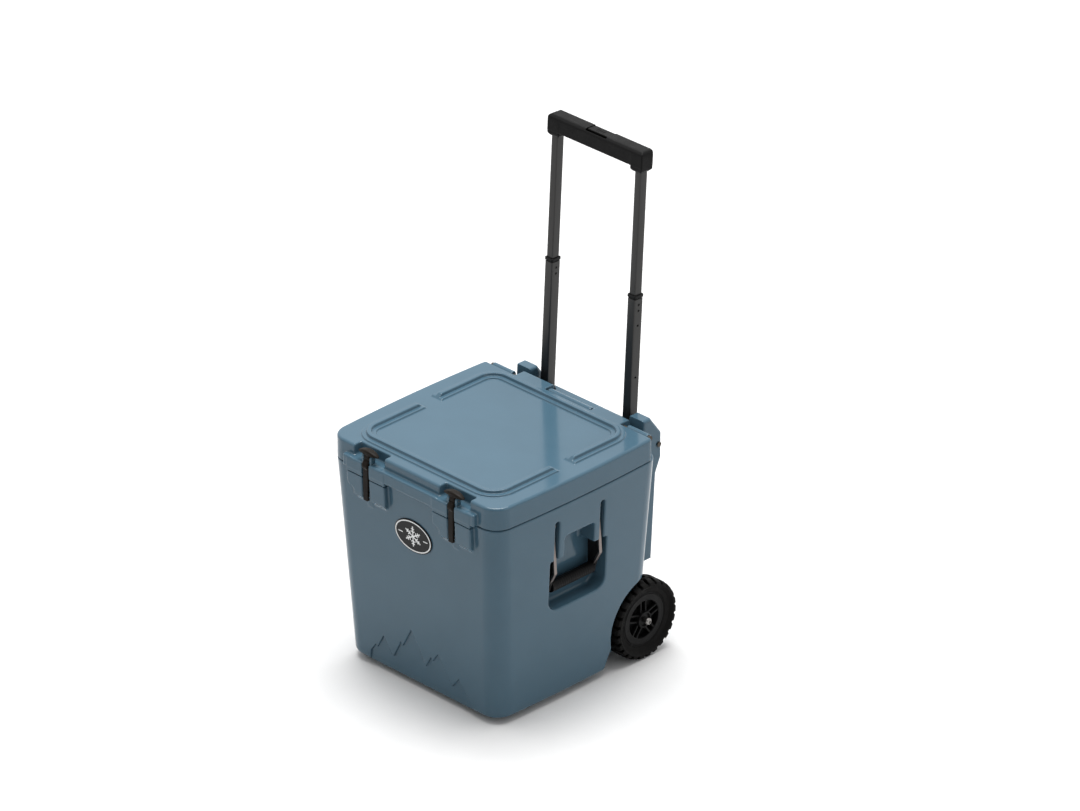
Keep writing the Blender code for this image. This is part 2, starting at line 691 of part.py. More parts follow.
def tube(name, x, size, ends, wall, look):
    outer = pole_box(name, x, size, *ends)
    inner = (size[0] - 2 * wall, size[1] - 2 * wall)
    cut(outer, pole_box(name + "_bore", x, inner, ends[0] - 0.01, ends[1] + 0.01))
    return part(outer, look)


def housing_outline(ears):
    """The housing from the side, as (Y, Z): it follows the back wall, and the ears rise past the lid."""
    low, high = HOUSING_Z
    back = [(0.2670, low), (0.2770, 0.361), (0.2785, 0.384), (0.2930, 0.417)]
    foot = (HALF_DEPTH - draft(low) + 2 * GAP, low)
    if ears:
        return back + [(0.2930, 0.473), (0.2620, 0.515), (0.2400, 0.515), (0.2370, high), foot]
    return back + [(0.2930, 0.462), (0.2880, high), (0.2372, high), foot]


def make_housing():
    housing = outline("handle_housing", "X", housing_outline(False), -0.145, 0.145)
    pocket = [(0.2050, 0.196), (0.2625, 0.196), (0.2725, 0.360), (0.2742, 0.386), (0.2880, 0.420)]
    pocket += [(0.2880, 0.455), (0.2050, 0.455)]
    for side, label in ((-1, "left"), (1, "right")):
        ends = sorted((side * HOUSING_EAR, side * HOUSING_HALF))
        join(housing, outline(f"ear_{label}", "X", housing_outline(True), *ends))
    cut(housing, outline("pocket_middle", "X", pocket, -0.098, 0.098))
    for side, label in ((-1, "left"), (1, "right")):
        ends = sorted((side * 0.137, side * 0.177))
        cut(housing, outline(f"pocket_{label}", "X", pocket, *ends))
        hole = (SLEEVE[0] + 2 * GAP, SLEEVE[1] + 2 * GAP)
        cut(housing, pole_box(f"sleeve_hole_{label}", side * POLE_X, hole, 0.15, 0.55))
        ends = sorted((side * 0.160, side * 0.20))
        cut(housing, span(f"screw_hole_{label}", "X", *ends, HOUSING_SCREW, 0.0033, 16))
    part(housing, ("moulded_blue", BLUE, 0.35))
    for side, label in ((-1, "left"), (1, "right")):
        ends = sorted((side * 0.179, side * 0.1835))
        screw = span(f"housing_screw_{label}", "X", *ends, HOUSING_SCREW, 0.003, 16)
        head = sorted((side * 0.18235, side * 0.1845))
        join(screw, span(f"screw_head_{label}", "X", *head, HOUSING_SCREW, 0.0055, 16))
        part(screw, ("steel", STEEL, 0.3, 1.0))


def make_poles():
    grey = ("pole_grey", POLE_GREY, 0.4, 0.7)
    black = ("black_plastic", BLACK, 0.5)
    for side, label in ((-1, "left"), (1, "right")):
        x = side * POLE_X
        tube(f"sleeve_{label}", x, SLEEVE, SLEEVE_S, 0.0011, grey)
        tube(f"lower_tube_{label}", x, LOWER_TUBE, LOWER_S, TUBE_WALL, grey)
        tube(f"upper_tube_{label}", x, UPPER_TUBE, UPPER_S, TUBE_WALL, grey)
        collar = pole_box(f"collar_{label}", x, (0.0245, 0.0275), LOWER_S[1] + GAP, COLLAR_S, 0.002)
        cut(collar, pole_box(f"collar_bore_{label}", x, (0.0176, 0.0201), 0.70, 0.80))
        part(collar, black)
        size = (LOWER_TUBE[0], LOWER_TUBE[1])
        part(pole_box(f"lower_glide_{label}", x, size, LOWER_S[0] - 0.010, LOWER_S[0] - GAP, 0.002), black)
        size = (UPPER_TUBE[0], UPPER_TUBE[1])
        part(pole_box(f"upper_glide_{label}", x, size, UPPER_S[0] - 0.010, UPPER_S[0] - GAP, 0.002), black)


def make_grip():
    low, high = GRIP_S
    bar = box("pull_grip", (-GRIP_HALF, -0.0165, high - GRIP_BAR), (GRIP_HALF, 0.0165, high), 0.005)
    grip = leaned(bar)
    channel = leaned(box("grip_channel", (-0.1215, -0.0050, high - 0.0215), (0.1215, 0.0050, high - 0.0092)))
    for side, label in ((-1, "left"), (1, "right")):
        x = side * POLE_X
        join(grip, pole_box(f"boss_{label}", x, (0.032, 0.032), low, high - 0.002, 0.005))
        socket = (UPPER_TUBE[0] + 2 * GAP, UPPER_TUBE[1] + 2 * GAP)
        cut(grip, pole_box(f"socket_{label}", x, socket, low - 0.01, UPPER_S[1] + GAP))
        rod_way = span(f"rod_way_{label}", "Z", UPPER_S[1] - 0.004, high - 0.015, (x, 0.0), 0.0032, 16)
        cut(grip, leaned(rod_way))
    cut(grip, channel)
    reach = BUTTON_HALF + 0.0005
    well = box("button_well", (-reach, -0.0095, high - 0.0120), (reach, 0.0095, high + 0.01))
    cut(grip, leaned(well))
    part(grip, ("grip", BLACK, 0.55))
    ends = (-BUTTON_HALF, -0.0090, high - 0.0075), (BUTTON_HALF, 0.0090, high - 0.0006)
    button = box("release_button", *ends, 0.0015)
    part(leaned(button), ("black_plastic", BLACK, 0.5))
    linkage = leaned(box("release_linkage", (-0.1205, -0.0040, high - 0.0155), (0.1205, 0.0040, high - 0.0095)))
    for side, label in ((-1, "left"), (1, "right")):
        at = (side * POLE_X, 0.0)
        rod = span(f"push_rod_{label}", "Z", UPPER_S[0] + 0.010, high - 0.012, at, 0.0025, 12)
        join(linkage, leaned(rod))
    part(linkage, ("steel", STEEL, 0.3, 1.0))


make_tub()
make_tub_fittings()
make_lid()
make_lid_fittings()
make_latches()
make_side_handles()
make_wheels()
make_drain()
make_housing()
make_poles()
make_grip()
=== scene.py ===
"""The looks of the wheeled cooler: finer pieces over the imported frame, their materials, light and camera.

Metres, in the row's frame. Each moulding is a distance field, negative inside, that net() turns into a mesh:
fields join, cut and round each other as a mould's surfaces do. Most fields are written in the tub's frame,
whose Y is 0 halfway between the tub's front and back faces, and TUB_FRAME carries them to the row's.
"""

import json
import math

import bmesh
import bpy
import numpy as np
from mathutils import Matrix, Vector


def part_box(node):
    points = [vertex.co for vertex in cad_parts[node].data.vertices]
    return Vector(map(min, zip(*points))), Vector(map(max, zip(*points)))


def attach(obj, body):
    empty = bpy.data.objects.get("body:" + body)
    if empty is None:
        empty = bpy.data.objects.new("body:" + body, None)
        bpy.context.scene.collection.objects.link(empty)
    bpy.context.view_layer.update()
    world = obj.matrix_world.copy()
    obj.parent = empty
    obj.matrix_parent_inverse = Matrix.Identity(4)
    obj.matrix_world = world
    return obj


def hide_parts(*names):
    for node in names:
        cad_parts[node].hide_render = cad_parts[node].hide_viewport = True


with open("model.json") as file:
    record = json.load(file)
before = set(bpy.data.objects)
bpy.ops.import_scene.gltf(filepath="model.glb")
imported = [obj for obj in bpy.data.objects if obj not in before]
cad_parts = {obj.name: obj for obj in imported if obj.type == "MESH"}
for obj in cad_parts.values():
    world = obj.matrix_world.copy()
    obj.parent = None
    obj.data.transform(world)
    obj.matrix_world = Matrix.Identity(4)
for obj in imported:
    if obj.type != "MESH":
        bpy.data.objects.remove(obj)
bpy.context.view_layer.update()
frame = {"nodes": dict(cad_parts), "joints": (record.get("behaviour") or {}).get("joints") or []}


# What the frame says.


def middle(node):
    """The centre of a node's box."""
    low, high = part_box(node)
    return (low + high) / 2


def size_of(node):
    low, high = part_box(node)
    return high - low


TUB_LOW, TUB_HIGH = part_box("body_shell")
LID_LOW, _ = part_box("lid_shell")
AXLE = middle("axle")
WHEEL_OFFSET = 0.207  # the axle's distance behind the middle of the tub
SHIFT = AXLE.y - WHEEL_OFFSET  # from the tub's frame to the row's

TUB_FRAME = Matrix.Translation((0, SHIFT, 0))

DRAFT = math.tan(math.radians(2.92))  # how far the tub's walls lean in towards the floor
CROWN = 0.005  # how far the side walls bulge at their middle
HALF_WIDTH = TUB_HIGH.x - CROWN
HALF_DEPTH = 0.234
CORNER_R = 0.042
UNDERSIDE_Z = TUB_LOW.z
RIM_Z = 0.461
LID_BOTTOM_Z, LID_TOP_Z = 0.463, 0.512
FLOOR_Z, WALL = 0.058, 0.050

LATCH_X = middle("latch_right").x
PIN = middle("latch_pin_right")
HINGE = middle("hinge_rod")
FRONT_Y = LID_LOW.y - SHIFT  # the lip and the pads reach this far forward


# Fields. Each takes arrays and gives the distance to a surface.


def plan(x, y, half_x, half_y, radius):
    """A rounded rectangle seen from above."""
    across = np.abs(x) - half_x + radius
    along = np.abs(y) - half_y + radius
    outside = np.hypot(np.maximum(across, 0), np.maximum(along, 0))
    return outside + np.minimum(np.maximum(across, along), 0) - radius


def block(x, y, z, low, high, radius=0.0):
    """A box with rounded edges."""
    gaps = [np.abs(v - (a + b) / 2) - (b - a) / 2 + radius for v, a, b in zip((x, y, z), low, high)]
    outside = np.sqrt(sum(np.maximum(g, 0) ** 2 for g in gaps))
    return outside + np.minimum(np.maximum(np.maximum(gaps[0], gaps[1]), gaps[2]), 0) - radius


def polygon(u, v, points):
    """A flat outline of any shape."""
    squared = np.full(u.shape, 1e9, u.dtype)
    inside = np.zeros(u.shape, bool)
    for (u1, v1), (u2, v2) in zip(points, points[1:] + points[:1]):
        du, dv = u2 - u1, v2 - v1
        share = np.clip(((u - u1) * du + (v - v1) * dv) / (du * du + dv * dv), 0, 1)
        squared = np.minimum(squared, (u - u1 - share * du) ** 2 + (v - v1 - share * dv) ** 2)
        crosses = (v1 > v) != (v2 > v)
        if dv:
            inside ^= crosses & (u < u1 + (v - v1) * du / dv)
    return np.where(inside, -1, 1) * np.sqrt(squared)


def slab(flat, along, low, high, radius=0.0):
    """A flat field made solid between two values along its third axis."""
    return both(flat, np.abs(along - (low + high) / 2) - (high - low) / 2, radius)


def both(a, b, radius=0.0):
    """Where two shapes overlap, with the edge between them rounded."""
    if not radius:
        return np.maximum(a, b)
    corner = np.hypot(np.maximum(a + radius, 0), np.maximum(b + radius, 0))
    return np.minimum(-radius, np.maximum(a, b)) + corner


def either(a, b, radius=0.0):
    """Two shapes as one, with a fillet where they meet."""
    if not radius:
        return np.minimum(a, b)
    corner = np.hypot(np.maximum(radius - a, 0), np.maximum(radius - b, 0))
    return np.maximum(radius, np.minimum(a, b)) - corner


def without(a, b, radius=0.0):
    return both(a, -b, radius)


# From a field to a mesh.

BLOCK = 8  # cells along a side of the blocks that are searched for the surface
SEARCH = 1.4  # a block further than this many of its sides from the surface is skipped


def at(field, points, most=400_000):
    """The field at an array of points, a part at a time."""
    parts = [field(*points[n : n + most].T) for n in range(0, len(points), most)]
    return np.concatenate(parts)


def slope(field, points, step):
    """The field's direction of growth at each point."""
    found = np.empty_like(points)
    for axis in range(3):
        ahead, behind = points.copy(), points.copy()
        ahead[:, axis] += step
        behind[:, axis] -= step
        found[:, axis] = at(field, ahead) - at(field, behind)
    return found / (np.linalg.norm(found, axis=1, keepdims=True) + 1e-12)


def lattice(*counts):
    return np.stack(np.meshgrid(*map(np.arange, counts), indexing="ij"), -1).reshape(-1, 3)


def surface(field, low, high, cell):
    """Points and four-sided faces of the surface, one point for each cell that it crosses."""
    low = np.array(low, float) - 2 * cell
    counts = np.ceil((np.array(high) + 2 * cell - low) / (cell * BLOCK)).astype(int)
    blocks = lattice(*counts)
    close = np.abs(at(field, low + (blocks + 0.5) * BLOCK * cell)) < SEARCH * BLOCK * cell
    blocks = blocks[close]
    samples = low + (blocks[:, None] * BLOCK + lattice(*[BLOCK + 1] * 3)) * cell
    values = at(field, samples.reshape(-1, 3)).reshape(-1, *[BLOCK + 1] * 3)
    inside = values < 0

    ends = lattice(2, 2, 2)
    corners = [np.s_[:, i : i + BLOCK, j : j + BLOCK, k : k + BLOCK] for i, j, k in ends]
    filled = sum(inside[c].astype(np.int8) for c in corners)
    crossed = (filled > 0) & (filled < 8)
    at_corner = np.stack([values[c][crossed] for c in corners], 1)
    total, count = np.zeros((len(at_corner), 3)), np.zeros(len(at_corner))
    for a in range(8):
        for b in range(a + 1, 8):
            if np.abs(ends[a] - ends[b]).sum() != 1:
                continue
            first, second = at_corner[:, a], at_corner[:, b]
            hit = (first < 0) != (second < 0)
            share = np.where(hit, first / np.where(hit, first - second, 1), 0)
            total += hit[:, None] * (ends[a] + share[:, None] * (ends[b] - ends[a]))
            count += hit
    cells = np.argwhere(crossed)
    index = blocks[cells[:, 0]] * BLOCK + cells[:, 1:]
    points = low + (index + total / count[:, None]) * cell

    limits = counts * BLOCK
    keys = (index[:, 0] * limits[1] + index[:, 1]) * limits[2] + index[:, 2]
    order = np.argsort(keys)
    strides = np.array([limits[1] * limits[2], limits[2], 1])
    faces = []
    start = inside[:, :BLOCK, :BLOCK, :BLOCK]
    for axis in range(3):
        ahead = [slice(1, BLOCK + 1) if n == axis else slice(0, BLOCK) for n in range(3)]
        changed = np.argwhere(start != inside[(slice(None), *ahead)])
        key = (blocks[changed[:, 0]] * BLOCK + changed[:, 1:]) @ strides
        second, third = strides[(axis + 1) % 3], strides[(axis + 2) % 3]
        around = np.stack([key - second - third, key - third, key, key - second], 1)
        outward = start[tuple(changed.T)]
        around[~outward] = around[~outward][:, ::-1]
        faces.append(order[np.searchsorted(keys, around, sorter=order)])
    return points, np.concatenate(faces)


def settle(field, points, cell):
    """The points moved onto the surface."""
    for _ in range(2):
        off = np.clip(at(field, points), -0.6 * cell, 0.6 * cell)
        points = points - off[:, None] * slope(field, points, 0.3 * cell)
    return points


def net(name, field, low, high, cell, place=None, most=160_000):
    """A piece whose surface is the field's, carried by place, with at most so many triangles."""
    place = place or TUB_FRAME
    points, faces = surface(field, low, high, cell)
    points = settle(field, points, cell)
    mesh = bpy.data.meshes.new(name)
    mesh.vertices.add(len(points))
    mesh.vertices.foreach_set("co", points.astype(np.float32).ravel())
    mesh.loops.add(faces.size)
    mesh.loops.foreach_set("vertex_index", faces.astype(np.int32).ravel())
    mesh.polygons.add(len(faces))
    mesh.polygons.foreach_set("loop_start", np.arange(0, faces.size, 4, dtype=np.int32))
    mesh.update(calc_edges=True)
    piece = bpy.data.objects.new(name, mesh)
    bpy.context.scene.collection.objects.link(piece)
    if 2 * len(faces) > most:
        thin = piece.modifiers.new("thin", "DECIMATE")
        thin.ratio = most / (2 * len(faces))
        settle_modifiers(piece)
    mesh = piece.data
    points = np.empty(len(mesh.vertices) * 3, np.float32)
    mesh.vertices.foreach_get("co", points)
    points = points.reshape(-1, 3).astype(float)
    normals = slope(field, points, 0.5 * cell)
    turn = np.array(place.to_3x3())
    points = points @ turn.T + np.array(place.translation)
    normals = normals @ turn.T
    mesh.vertices.foreach_set("co", points.astype(np.float32).ravel())
    mesh.polygons.foreach_set("use_smooth", np.ones(len(mesh.polygons), bool))
    mesh.update()
    mesh.normals_split_custom_set_from_vertices(normals)
    return piece


def settle_modifiers(piece):
    """Applies a piece's modifiers."""
    bpy.context.view_layer.update()
    graph = bpy.context.evaluated_depsgraph_get()
    made = bpy.data.meshes.new_from_object(piece.evaluated_get(graph))
    piece.modifiers.clear()
    old, piece.data = piece.data, made
    bpy.data.meshes.remove(old)


# The tub.

ARCH_CENTRE, ARCH_R, ARCH_X = (0.213, 0.084), 0.106, 0.176
RECESS_FLOOR_X = 0.195
ARM_Y = 0.064
DRAIN = middle("drain_fitting")
DRAIN_WALL_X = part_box("drain_fitting")[0].x + 0.008
RELIEF_DEPTH = 0.0040
HILLS = (
    (-0.152, 0.000),
    (-0.146, 0.038),
    (-0.131, 0.058),
    (-0.127, 0.052),
    (-0.106, 0.088),
    (-0.086, 0.054),
    (-0.079, 0.050),
    (-0.056, 0.094),
    (-0.051, 0.086),
    (-0.024, 0.134),
    (0.000, 0.098),
    (0.014, 0.064),
    (0.031, 0.092),
    (0.036, 0.086),
    (0.052, 0.108),
    (0.078, 0.066),
    (0.090, 0.048),
    (0.110, 0.074),
    (0.150, 0.016),
    (0.152, 0.000),
)


def sides(x, y, z, inset=0.0):
    """The tub's outside seen from above at each height, leaning in towards the floor."""
    lean = DRAFT * (RIM_Z - z) + inset
    bulge = CROWN * np.clip(1 - (y / (HALF_DEPTH - CORNER_R)) ** 2, 0, 1)
    return plan(x, y, HALF_WIDTH + bulge - lean, HALF_DEPTH - lean, CORNER_R)


def recess(x, y, z):
    """The hand recess in both side walls: a tray, its raised middle, and a slot for each arm."""
    y = np.abs(y)
    tray = both(plan(y, z - 0.27, 0.080, 0.049, 0.025), z - 0.338, 0.003)
    tray = either(tray, plan(y, z - 0.30, 0.080, 0.038, 0.004))
    centre = plan(y, z - 0.34, 0.042, 0.045, 0.008)
    slot = plan(y - ARM_Y, z - 0.38, 0.006, 0.047, 0.0055)
    outline = either(either(tray, centre, 0.004), slot, 0.002)
    return both(outline, RECESS_FLOOR_X - np.abs(x), 0.007)


def arch(x, y, z):
    """The wheel arches, with the slant that ends the flat underside."""
    wheel = np.hypot(y - ARCH_CENTRE[0], z - ARCH_CENTRE[1]) - ARCH_R
    slant = ((0.082 - y) * 0.062 + (z + 0.002) * 0.0273) / math.hypot(0.062, 0.0273)
    below = np.maximum(np.maximum(slant, z - ARCH_CENTRE[1]), y - 0.35)
    return both(np.minimum(wheel, below), ARCH_X - np.abs(x), 0.004)


LEFT_PAD = [(-0.054, 0.47), (-0.054, 0.428), (-0.037, 0.420)]
LEFT_PAD += [(-0.037, 0.392), (-0.010, 0.378), (-0.010, 0.47)]
RIGHT_PAD = [(0.010, 0.47), (0.010, 0.378), (0.044, 0.378)]
RIGHT_PAD += [(0.050, 0.400), (0.054, 0.408), (0.054, 0.47)]
POST_R, MIDDLE_POST_X, END_POST_X, END_POST_HALF = 0.008, 0.060, 0.1925, 0.0285


def pads(x, y, z):
    """The pads beside each strap, with slanted lower ends, and the small keeper under the strap."""
    u = x - np.sign(x) * LATCH_X
    section = [(-0.215, 0.455), (FRONT_Y, 0.455), (FRONT_Y + 0.0022, 0.408), (-0.215, 0.381)]
    outline = either(polygon(u, z, LEFT_PAD), polygon(u, z, RIGHT_PAD))
    body = both(polygon(y, z, section), outline, 0.003)
    dent = block(u, y, z, (0.034, -0.26, 0.386), (0.060, FRONT_Y + 0.0045, 0.408), 0.002)
    body = without(body, dent, 0.001)
    keeper = block(u, y, z, (-0.0085, -0.2300, 0.384), (0.0085, -0.20, 0.4005), 0.003)
    return either(body, keeper, 0.001)


def posts(x, y, z):
    """The three ears that hold the hinge rod."""
    rod_y = HINGE.y - SHIFT
    ears = np.hypot(y - rod_y, z - HINGE.z) - POST_R
    ears = np.minimum(ears, block(0 * x, y, z, (-1, rod_y - POST_R, 0.44), (1, rod_y + POST_R, HINGE.z)))
    x = np.abs(x)
    return both(ears, np.minimum(x - MIDDLE_POST_X, np.abs(x - END_POST_X) - END_POST_HALF), 0.002)


def relief(x, y, z):
    """A range of hills sunk into the foot of the front, to one depth."""
    wall = y + HALF_DEPTH - DRAFT * (RIM_Z - z)
    return both(polygon(x, z, HILLS), wall - RELIEF_DEPTH, 0.001)


def tub(x, y, z):
    body = both(sides(x, y, z), UNDERSIDE_Z - z, 0.011)
    body = either(body, pads(x, y, z), 0.003)
    body = both(body, z - RIM_Z, 0.003)
    body = either(body, posts(x, y, z), 0.002)
    lean = DRAFT * (RIM_Z - z) + WALL
    inside = plan(x, y + 0.005, HALF_WIDTH - lean, HALF_DEPTH - 0.005 - lean, 0.034)
    body = without(body, both(inside, FLOOR_Z - z, 0.018), 0.004)
    body = without(body, recess(x, y, z), 0.0035)
    body = without(body, arch(x, y, z), 0.0025)
    body = without(body, relief(x, y, z), 0.001)
    groove = block(x, y, z, (-0.19, 0.198, 0.077), (0.19, 0.30, 0.097), 0.002)
    body = without(body, groove, 0.001)
    drain = np.hypot(y - (DRAIN.y - SHIFT), z - DRAIN.z)
    body = without(body, both(drain - 0.0203, x + 0.2140), 0.001)
    body = without(body, both(drain - 0.0143, x + 0.15))
    return body


# The lid.

BEAD_HALF = (0.190, 0.1875)
BEAD_Y = -0.0045
BEAD_BREAK, BEAD_RAMP = (-0.022, 0.019), 0.012
BEAD_HALF_SECTION = [(-0.01, -0.004), (0.0160, -0.004), (0.0156, 0.0), (0.0140, 0.0030)]
BEAD_HALF_SECTION += [(0.0060, 0.0030), (0.0042, 0.0084), (0.0028, 0.0088), (-0.01, 0.0088)]


def bead(x, y, z):
    """The stepped line raised on the lid's top, which stops short of the middle of each side."""
    away = np.abs(plan(x, y - BEAD_Y, *BEAD_HALF, 0.040))
    line = polygon(away, z - LID_TOP_Z, BEAD_HALF_SECTION)
    front, back = BEAD_BREAK
    centre, half = (front + back) / 2, (back - front) / 2
    rise = BEAD_RAMP / 0.009
    clear = (np.abs(y - centre) - half - rise * (z - LID_TOP_Z)) / math.hypot(1, rise)
    return both(line, -clear, 0.001)


# (middle, half width) of each notch in the lid's back edge, where the tub's ears go
EAR_NOTCHES = ((0.0, 0.065), (0.205, 0.055), (-0.205, 0.055))
LUG_R = 0.006  # round each latch's pin


def lid(x, y, z):
    bulge = CROWN * np.clip(1 - (y / (HALF_DEPTH - CORNER_R)) ** 2, 0, 1)
    body = plan(x, y, HALF_WIDTH + bulge, HALF_DEPTH, CORNER_R)
    body = both(both(body, z - LID_TOP_Z, 0.0060), LID_BOTTOM_Z - z, 0.0010)
    lip = block(x, y, z, (-0.187, FRONT_Y, LID_BOTTOM_Z), (0.187, -0.15, 0.4895), 0.0035)
    body = either(body, lip, 0.003)
    beside = np.abs(np.abs(x) - LATCH_X)
    drop = block(beside, y, z, (-1, FRONT_Y, 0.456), (0.054, -0.2346, 0.486), 0.002)
    body = either(body, drop, 0.002)
    notch = block(beside, y, z, (-1, -0.30, 0.4895), (0.043, -0.214, 0.55), 0.004)
    body = without(body, notch, 0.003)
    body = without(body, block(beside, y, z, (-1, -0.30, 0.44), (0.010, -0.2350, 0.4925), 0.001), 0.0015)
    pin_y = PIN.y - SHIFT
    lug = np.hypot(y - pin_y, z - PIN.z) - LUG_R
    lug = np.minimum(lug, block(0 * x, y, z, (-1, pin_y - LUG_R, 0.485), (1, pin_y + LUG_R, PIN.z)))
    body = either(body, slab(lug, beside, 0.0082, 0.0140, 0.001), 0.001)
    body = either(body, bead(x, y, z))
    width = HALF_WIDTH - WALL - 0.006
    plug = plan(x, y + 0.0025, width, 0.1705, 0.030)
    plug = both(both(plug, 0.447 - z, 0.006), z - 0.48)
    body = either(body, plug, 0.002)
    for centre, half in EAR_NOTCHES:
        notch = block(x, y, z, (centre - half, 0.2055, 0.40), (centre + half, 0.30, 0.60), 0.003)
        body = without(body, notch, 0.002)
    return body


# The housing behind the tub that holds the telescoping handle.

POLE_AXIS = Vector(next(j["axis"] for j in frame["joints"] if j["name"] == "upper_stage_slide"))
POLE_LEAN = math.atan2(POLE_AXIS.y, POLE_AXIS.z)
POLE_X = middle("upper_tube_right").x
TUBE_MIDDLE = middle("upper_tube_right")
FOOT_Y = TUBE_MIDDLE.y - TUBE_MIDDLE.z * math.tan(POLE_LEAN)
POLE_FRAME = Matrix.Translation((0, FOOT_Y, 0)) @ Matrix.Rotation(-POLE_LEAN, 4, "X")
HOUSING_Z = (0.190, 0.470)
HOUSING_HALF, EAR_X = size_of("handle_housing").x / 2, 0.140
SCREW = middle("housing_screw_right")
SLEEVE = (0.0246, 0.0280)


def housing_side(y, z, ears):
    """The housing from the side: it follows the tub's back wall, and the ears rise past the lid."""
    low, high = HOUSING_Z
    back = [(0.2670, low), (0.2770, 0.361), (0.2785, 0.384), (0.2930, 0.417)]
    foot = (HALF_DEPTH - DRAFT * (RIM_Z - low) + 0.0006, low)
    if ears:
        top = [(0.2930, 0.473), (0.2620, 0.515), (0.2400, 0.515), (0.2370, high)]
    else:
        top = [(0.2930, 0.462), (0.2880, high), (0.2372, high)]
    return polygon(y, z, back + top + [foot])


def housing(x, y, z):
    body = slab(housing_side(y, z, False), x, -0.150, 0.150, 0.005)
    ears = slab(housing_side(y, z, True), np.abs(x), EAR_X, HOUSING_HALF, 0.006)
    body = either(body, ears, 0.003)
    rib = block(np.abs(x), y, z, (0.060, 0.255, 0.215), (0.066, 0.31, 0.36), 0.002)
    body = without(body, rib, 0.002)
    across = (y + SHIFT - FOOT_Y) * math.cos(POLE_LEAN) - z * math.sin(POLE_LEAN)
    hole = plan(np.abs(x) - POLE_X, across, SLEEVE[0] / 2, SLEEVE[1] / 2, 0.003)
    body = without(body, hole, 0.0015)
    screw = np.hypot(y - (SCREW.y - SHIFT), z - SCREW.z)
    body = without(body, both(screw - 0.0065, HOUSING_HALF - 0.0012 - np.abs(x)), 0.0005)
    return without(body, both(screw - 0.0033, 0.160 - np.abs(x)))


# The latches: one rubber piece each, with a domed head above the pin and a strap below it.

HEAD_HALF, HEAD_DEPTH, HEAD_Y = 0.0305, 0.0085, 0.0012


def latch(x, y, z):
    """In the frame of the pin's middle."""
    across = np.abs(x)
    crown = np.hypot(across / HEAD_HALF, (y - HEAD_Y) / HEAD_DEPTH) - 1
    dome = 0.0175 - 0.0085 * (across / 0.030) ** 2
    head = both(both(crown * HEAD_DEPTH, z - dome, 0.004), 0.0072 - z, 0.002)
    neck = both(both(across - 0.0058, np.abs(y) - 0.0045, 0.002), np.abs(z - 0.004) - 0.008)
    ring = both(np.hypot(y + 0.001, z) - 0.0052, across - 0.0072, 0.002)
    body = either(either(head, neck, 0.004), ring, 0.003)
    knob = both(np.hypot(y + 0.0062, (z + 0.0160)) - 0.0070, across - 0.0076, 0.0025)
    body = either(body, knob, 0.005)
    strap = block(x, y, z, (-0.0073, -0.0097, -0.096), (0.0073, -0.0040, -0.006), 0.0018)
    body = either(body, strap, 0.003)
    ridges = np.abs(np.mod(z + 0.001, 0.0075) - 0.00375) - 0.0009
    ridges = both(both(ridges, z + 0.070), -0.0103 - y + 0.0012)
    body = without(body, ridges, 0.0006)
    return without(body, np.hypot(y, z) - 0.0023)


# The wheels, in the frame of the wheel's middle with X outward.

WHEEL = size_of("tyre_right")
WHEEL_R, WHEEL_HALF = WHEEL.z / 2, WHEEL.x / 2
RIM_R, HUB_R = 0.0600, 0.018
RIM_EDGE = 0.0105  # how far the rim's face lies inside the tyre's side
RIM_LINE_R, SPOKE_REACH = 0.0570, 0.0420
LUGS = 26
SPOKE_PAIRS = 5


def turn_by(y, z, count, start=0.0):
    """(angle from the middle of the nearest of count equal sectors, radius)."""
    sector = 2 * math.pi / count
    angle = np.arctan2(z, y) - start
    return np.mod(angle + sector / 2, sector) - sector / 2, np.hypot(y, z)


def tyre(x, y, z):
    radius = np.hypot(y, z)
    half = WHEEL_HALF
    profile = [(RIM_R, half - RIM_EDGE), (0.0700, half - 0.0085), (0.0775, half - 0.0005)]
    profile += [(0.0845, half - 0.0020), (WHEEL_R, half - 0.010)]
    profile += [(r, -a) for r, a in reversed(profile)]
    body = polygon(radius, x, profile)
    for side in (-1, 1):
        angle, radius = turn_by(y, z, LUGS, side * math.pi / LUGS / 2)
        gap = np.abs(angle * radius + side * 0.0018 * np.sin(x * 260)) - 0.0034
        reach = both(0.0790 - radius, 0.0035 - side * x, 0.002)
        body = without(body, both(gap, reach, 0.001), 0.0012)
    angle, radius = turn_by(y, z, LUGS)
    middle_gap = np.abs(x - 0.003 * np.sign(angle)) - 0.0016
    body = without(body, both(middle_gap, 0.0835 - radius), 0.0008)
    return body


def rim(x, y, z):
    radius = np.hypot(y, z)
    edge = WHEEL_HALF - RIM_EDGE
    outside = radius - RIM_R + 0.0003
    band = both(both(outside, 0.0520 - radius), np.abs(x) - edge + 0.001, 0.0015)
    face = both(both(outside, SPOKE_REACH - radius), np.abs(x - edge + 0.0055) - 0.0055, 0.0015)
    body = either(band, face, 0.002)
    body = without(body, np.hypot(radius - RIM_LINE_R, x - edge) - 0.0011, 0.0005)
    angle, _ = turn_by(y, z, SPOKE_PAIRS, math.radians(18))
    beside, along = np.abs(radius * np.sin(angle)), radius * np.cos(angle)
    reach = both(radius - SPOKE_REACH - 0.002, 0.012 - along)
    spoke = both(both(np.abs(beside - 0.0068) - 0.0021, reach), np.abs(x - edge + 0.0070) - 0.0050, 0.0012)
    body = either(body, spoke, 0.0020)
    disc = both(radius - 0.0530, np.abs(x - edge + 0.0150) - 0.0020)
    body = either(body, disc, 0.002)
    hub = both(radius - HUB_R, np.abs(x) - (edge + 0.0030), 0.0015)
    body = either(body, hub, 0.0015)
    body = without(body, both(radius - 0.0145, edge - 0.0010 - x), 0.001)
    return without(body, radius - 0.0053)


def bolt(x, y, z):
    """A domed screw head facing X, with a six-sided socket."""
    dome = both(np.sqrt(x * x * 2.2 + y * y + z * z) - 0.0080, -x - 0.0015, 0.0005)
    angle, radius = turn_by(y, z, 6)
    return without(dome, both(radius * np.cos(angle) - 0.0028, 0.0022 - x), 0.0003)


# The side handles.

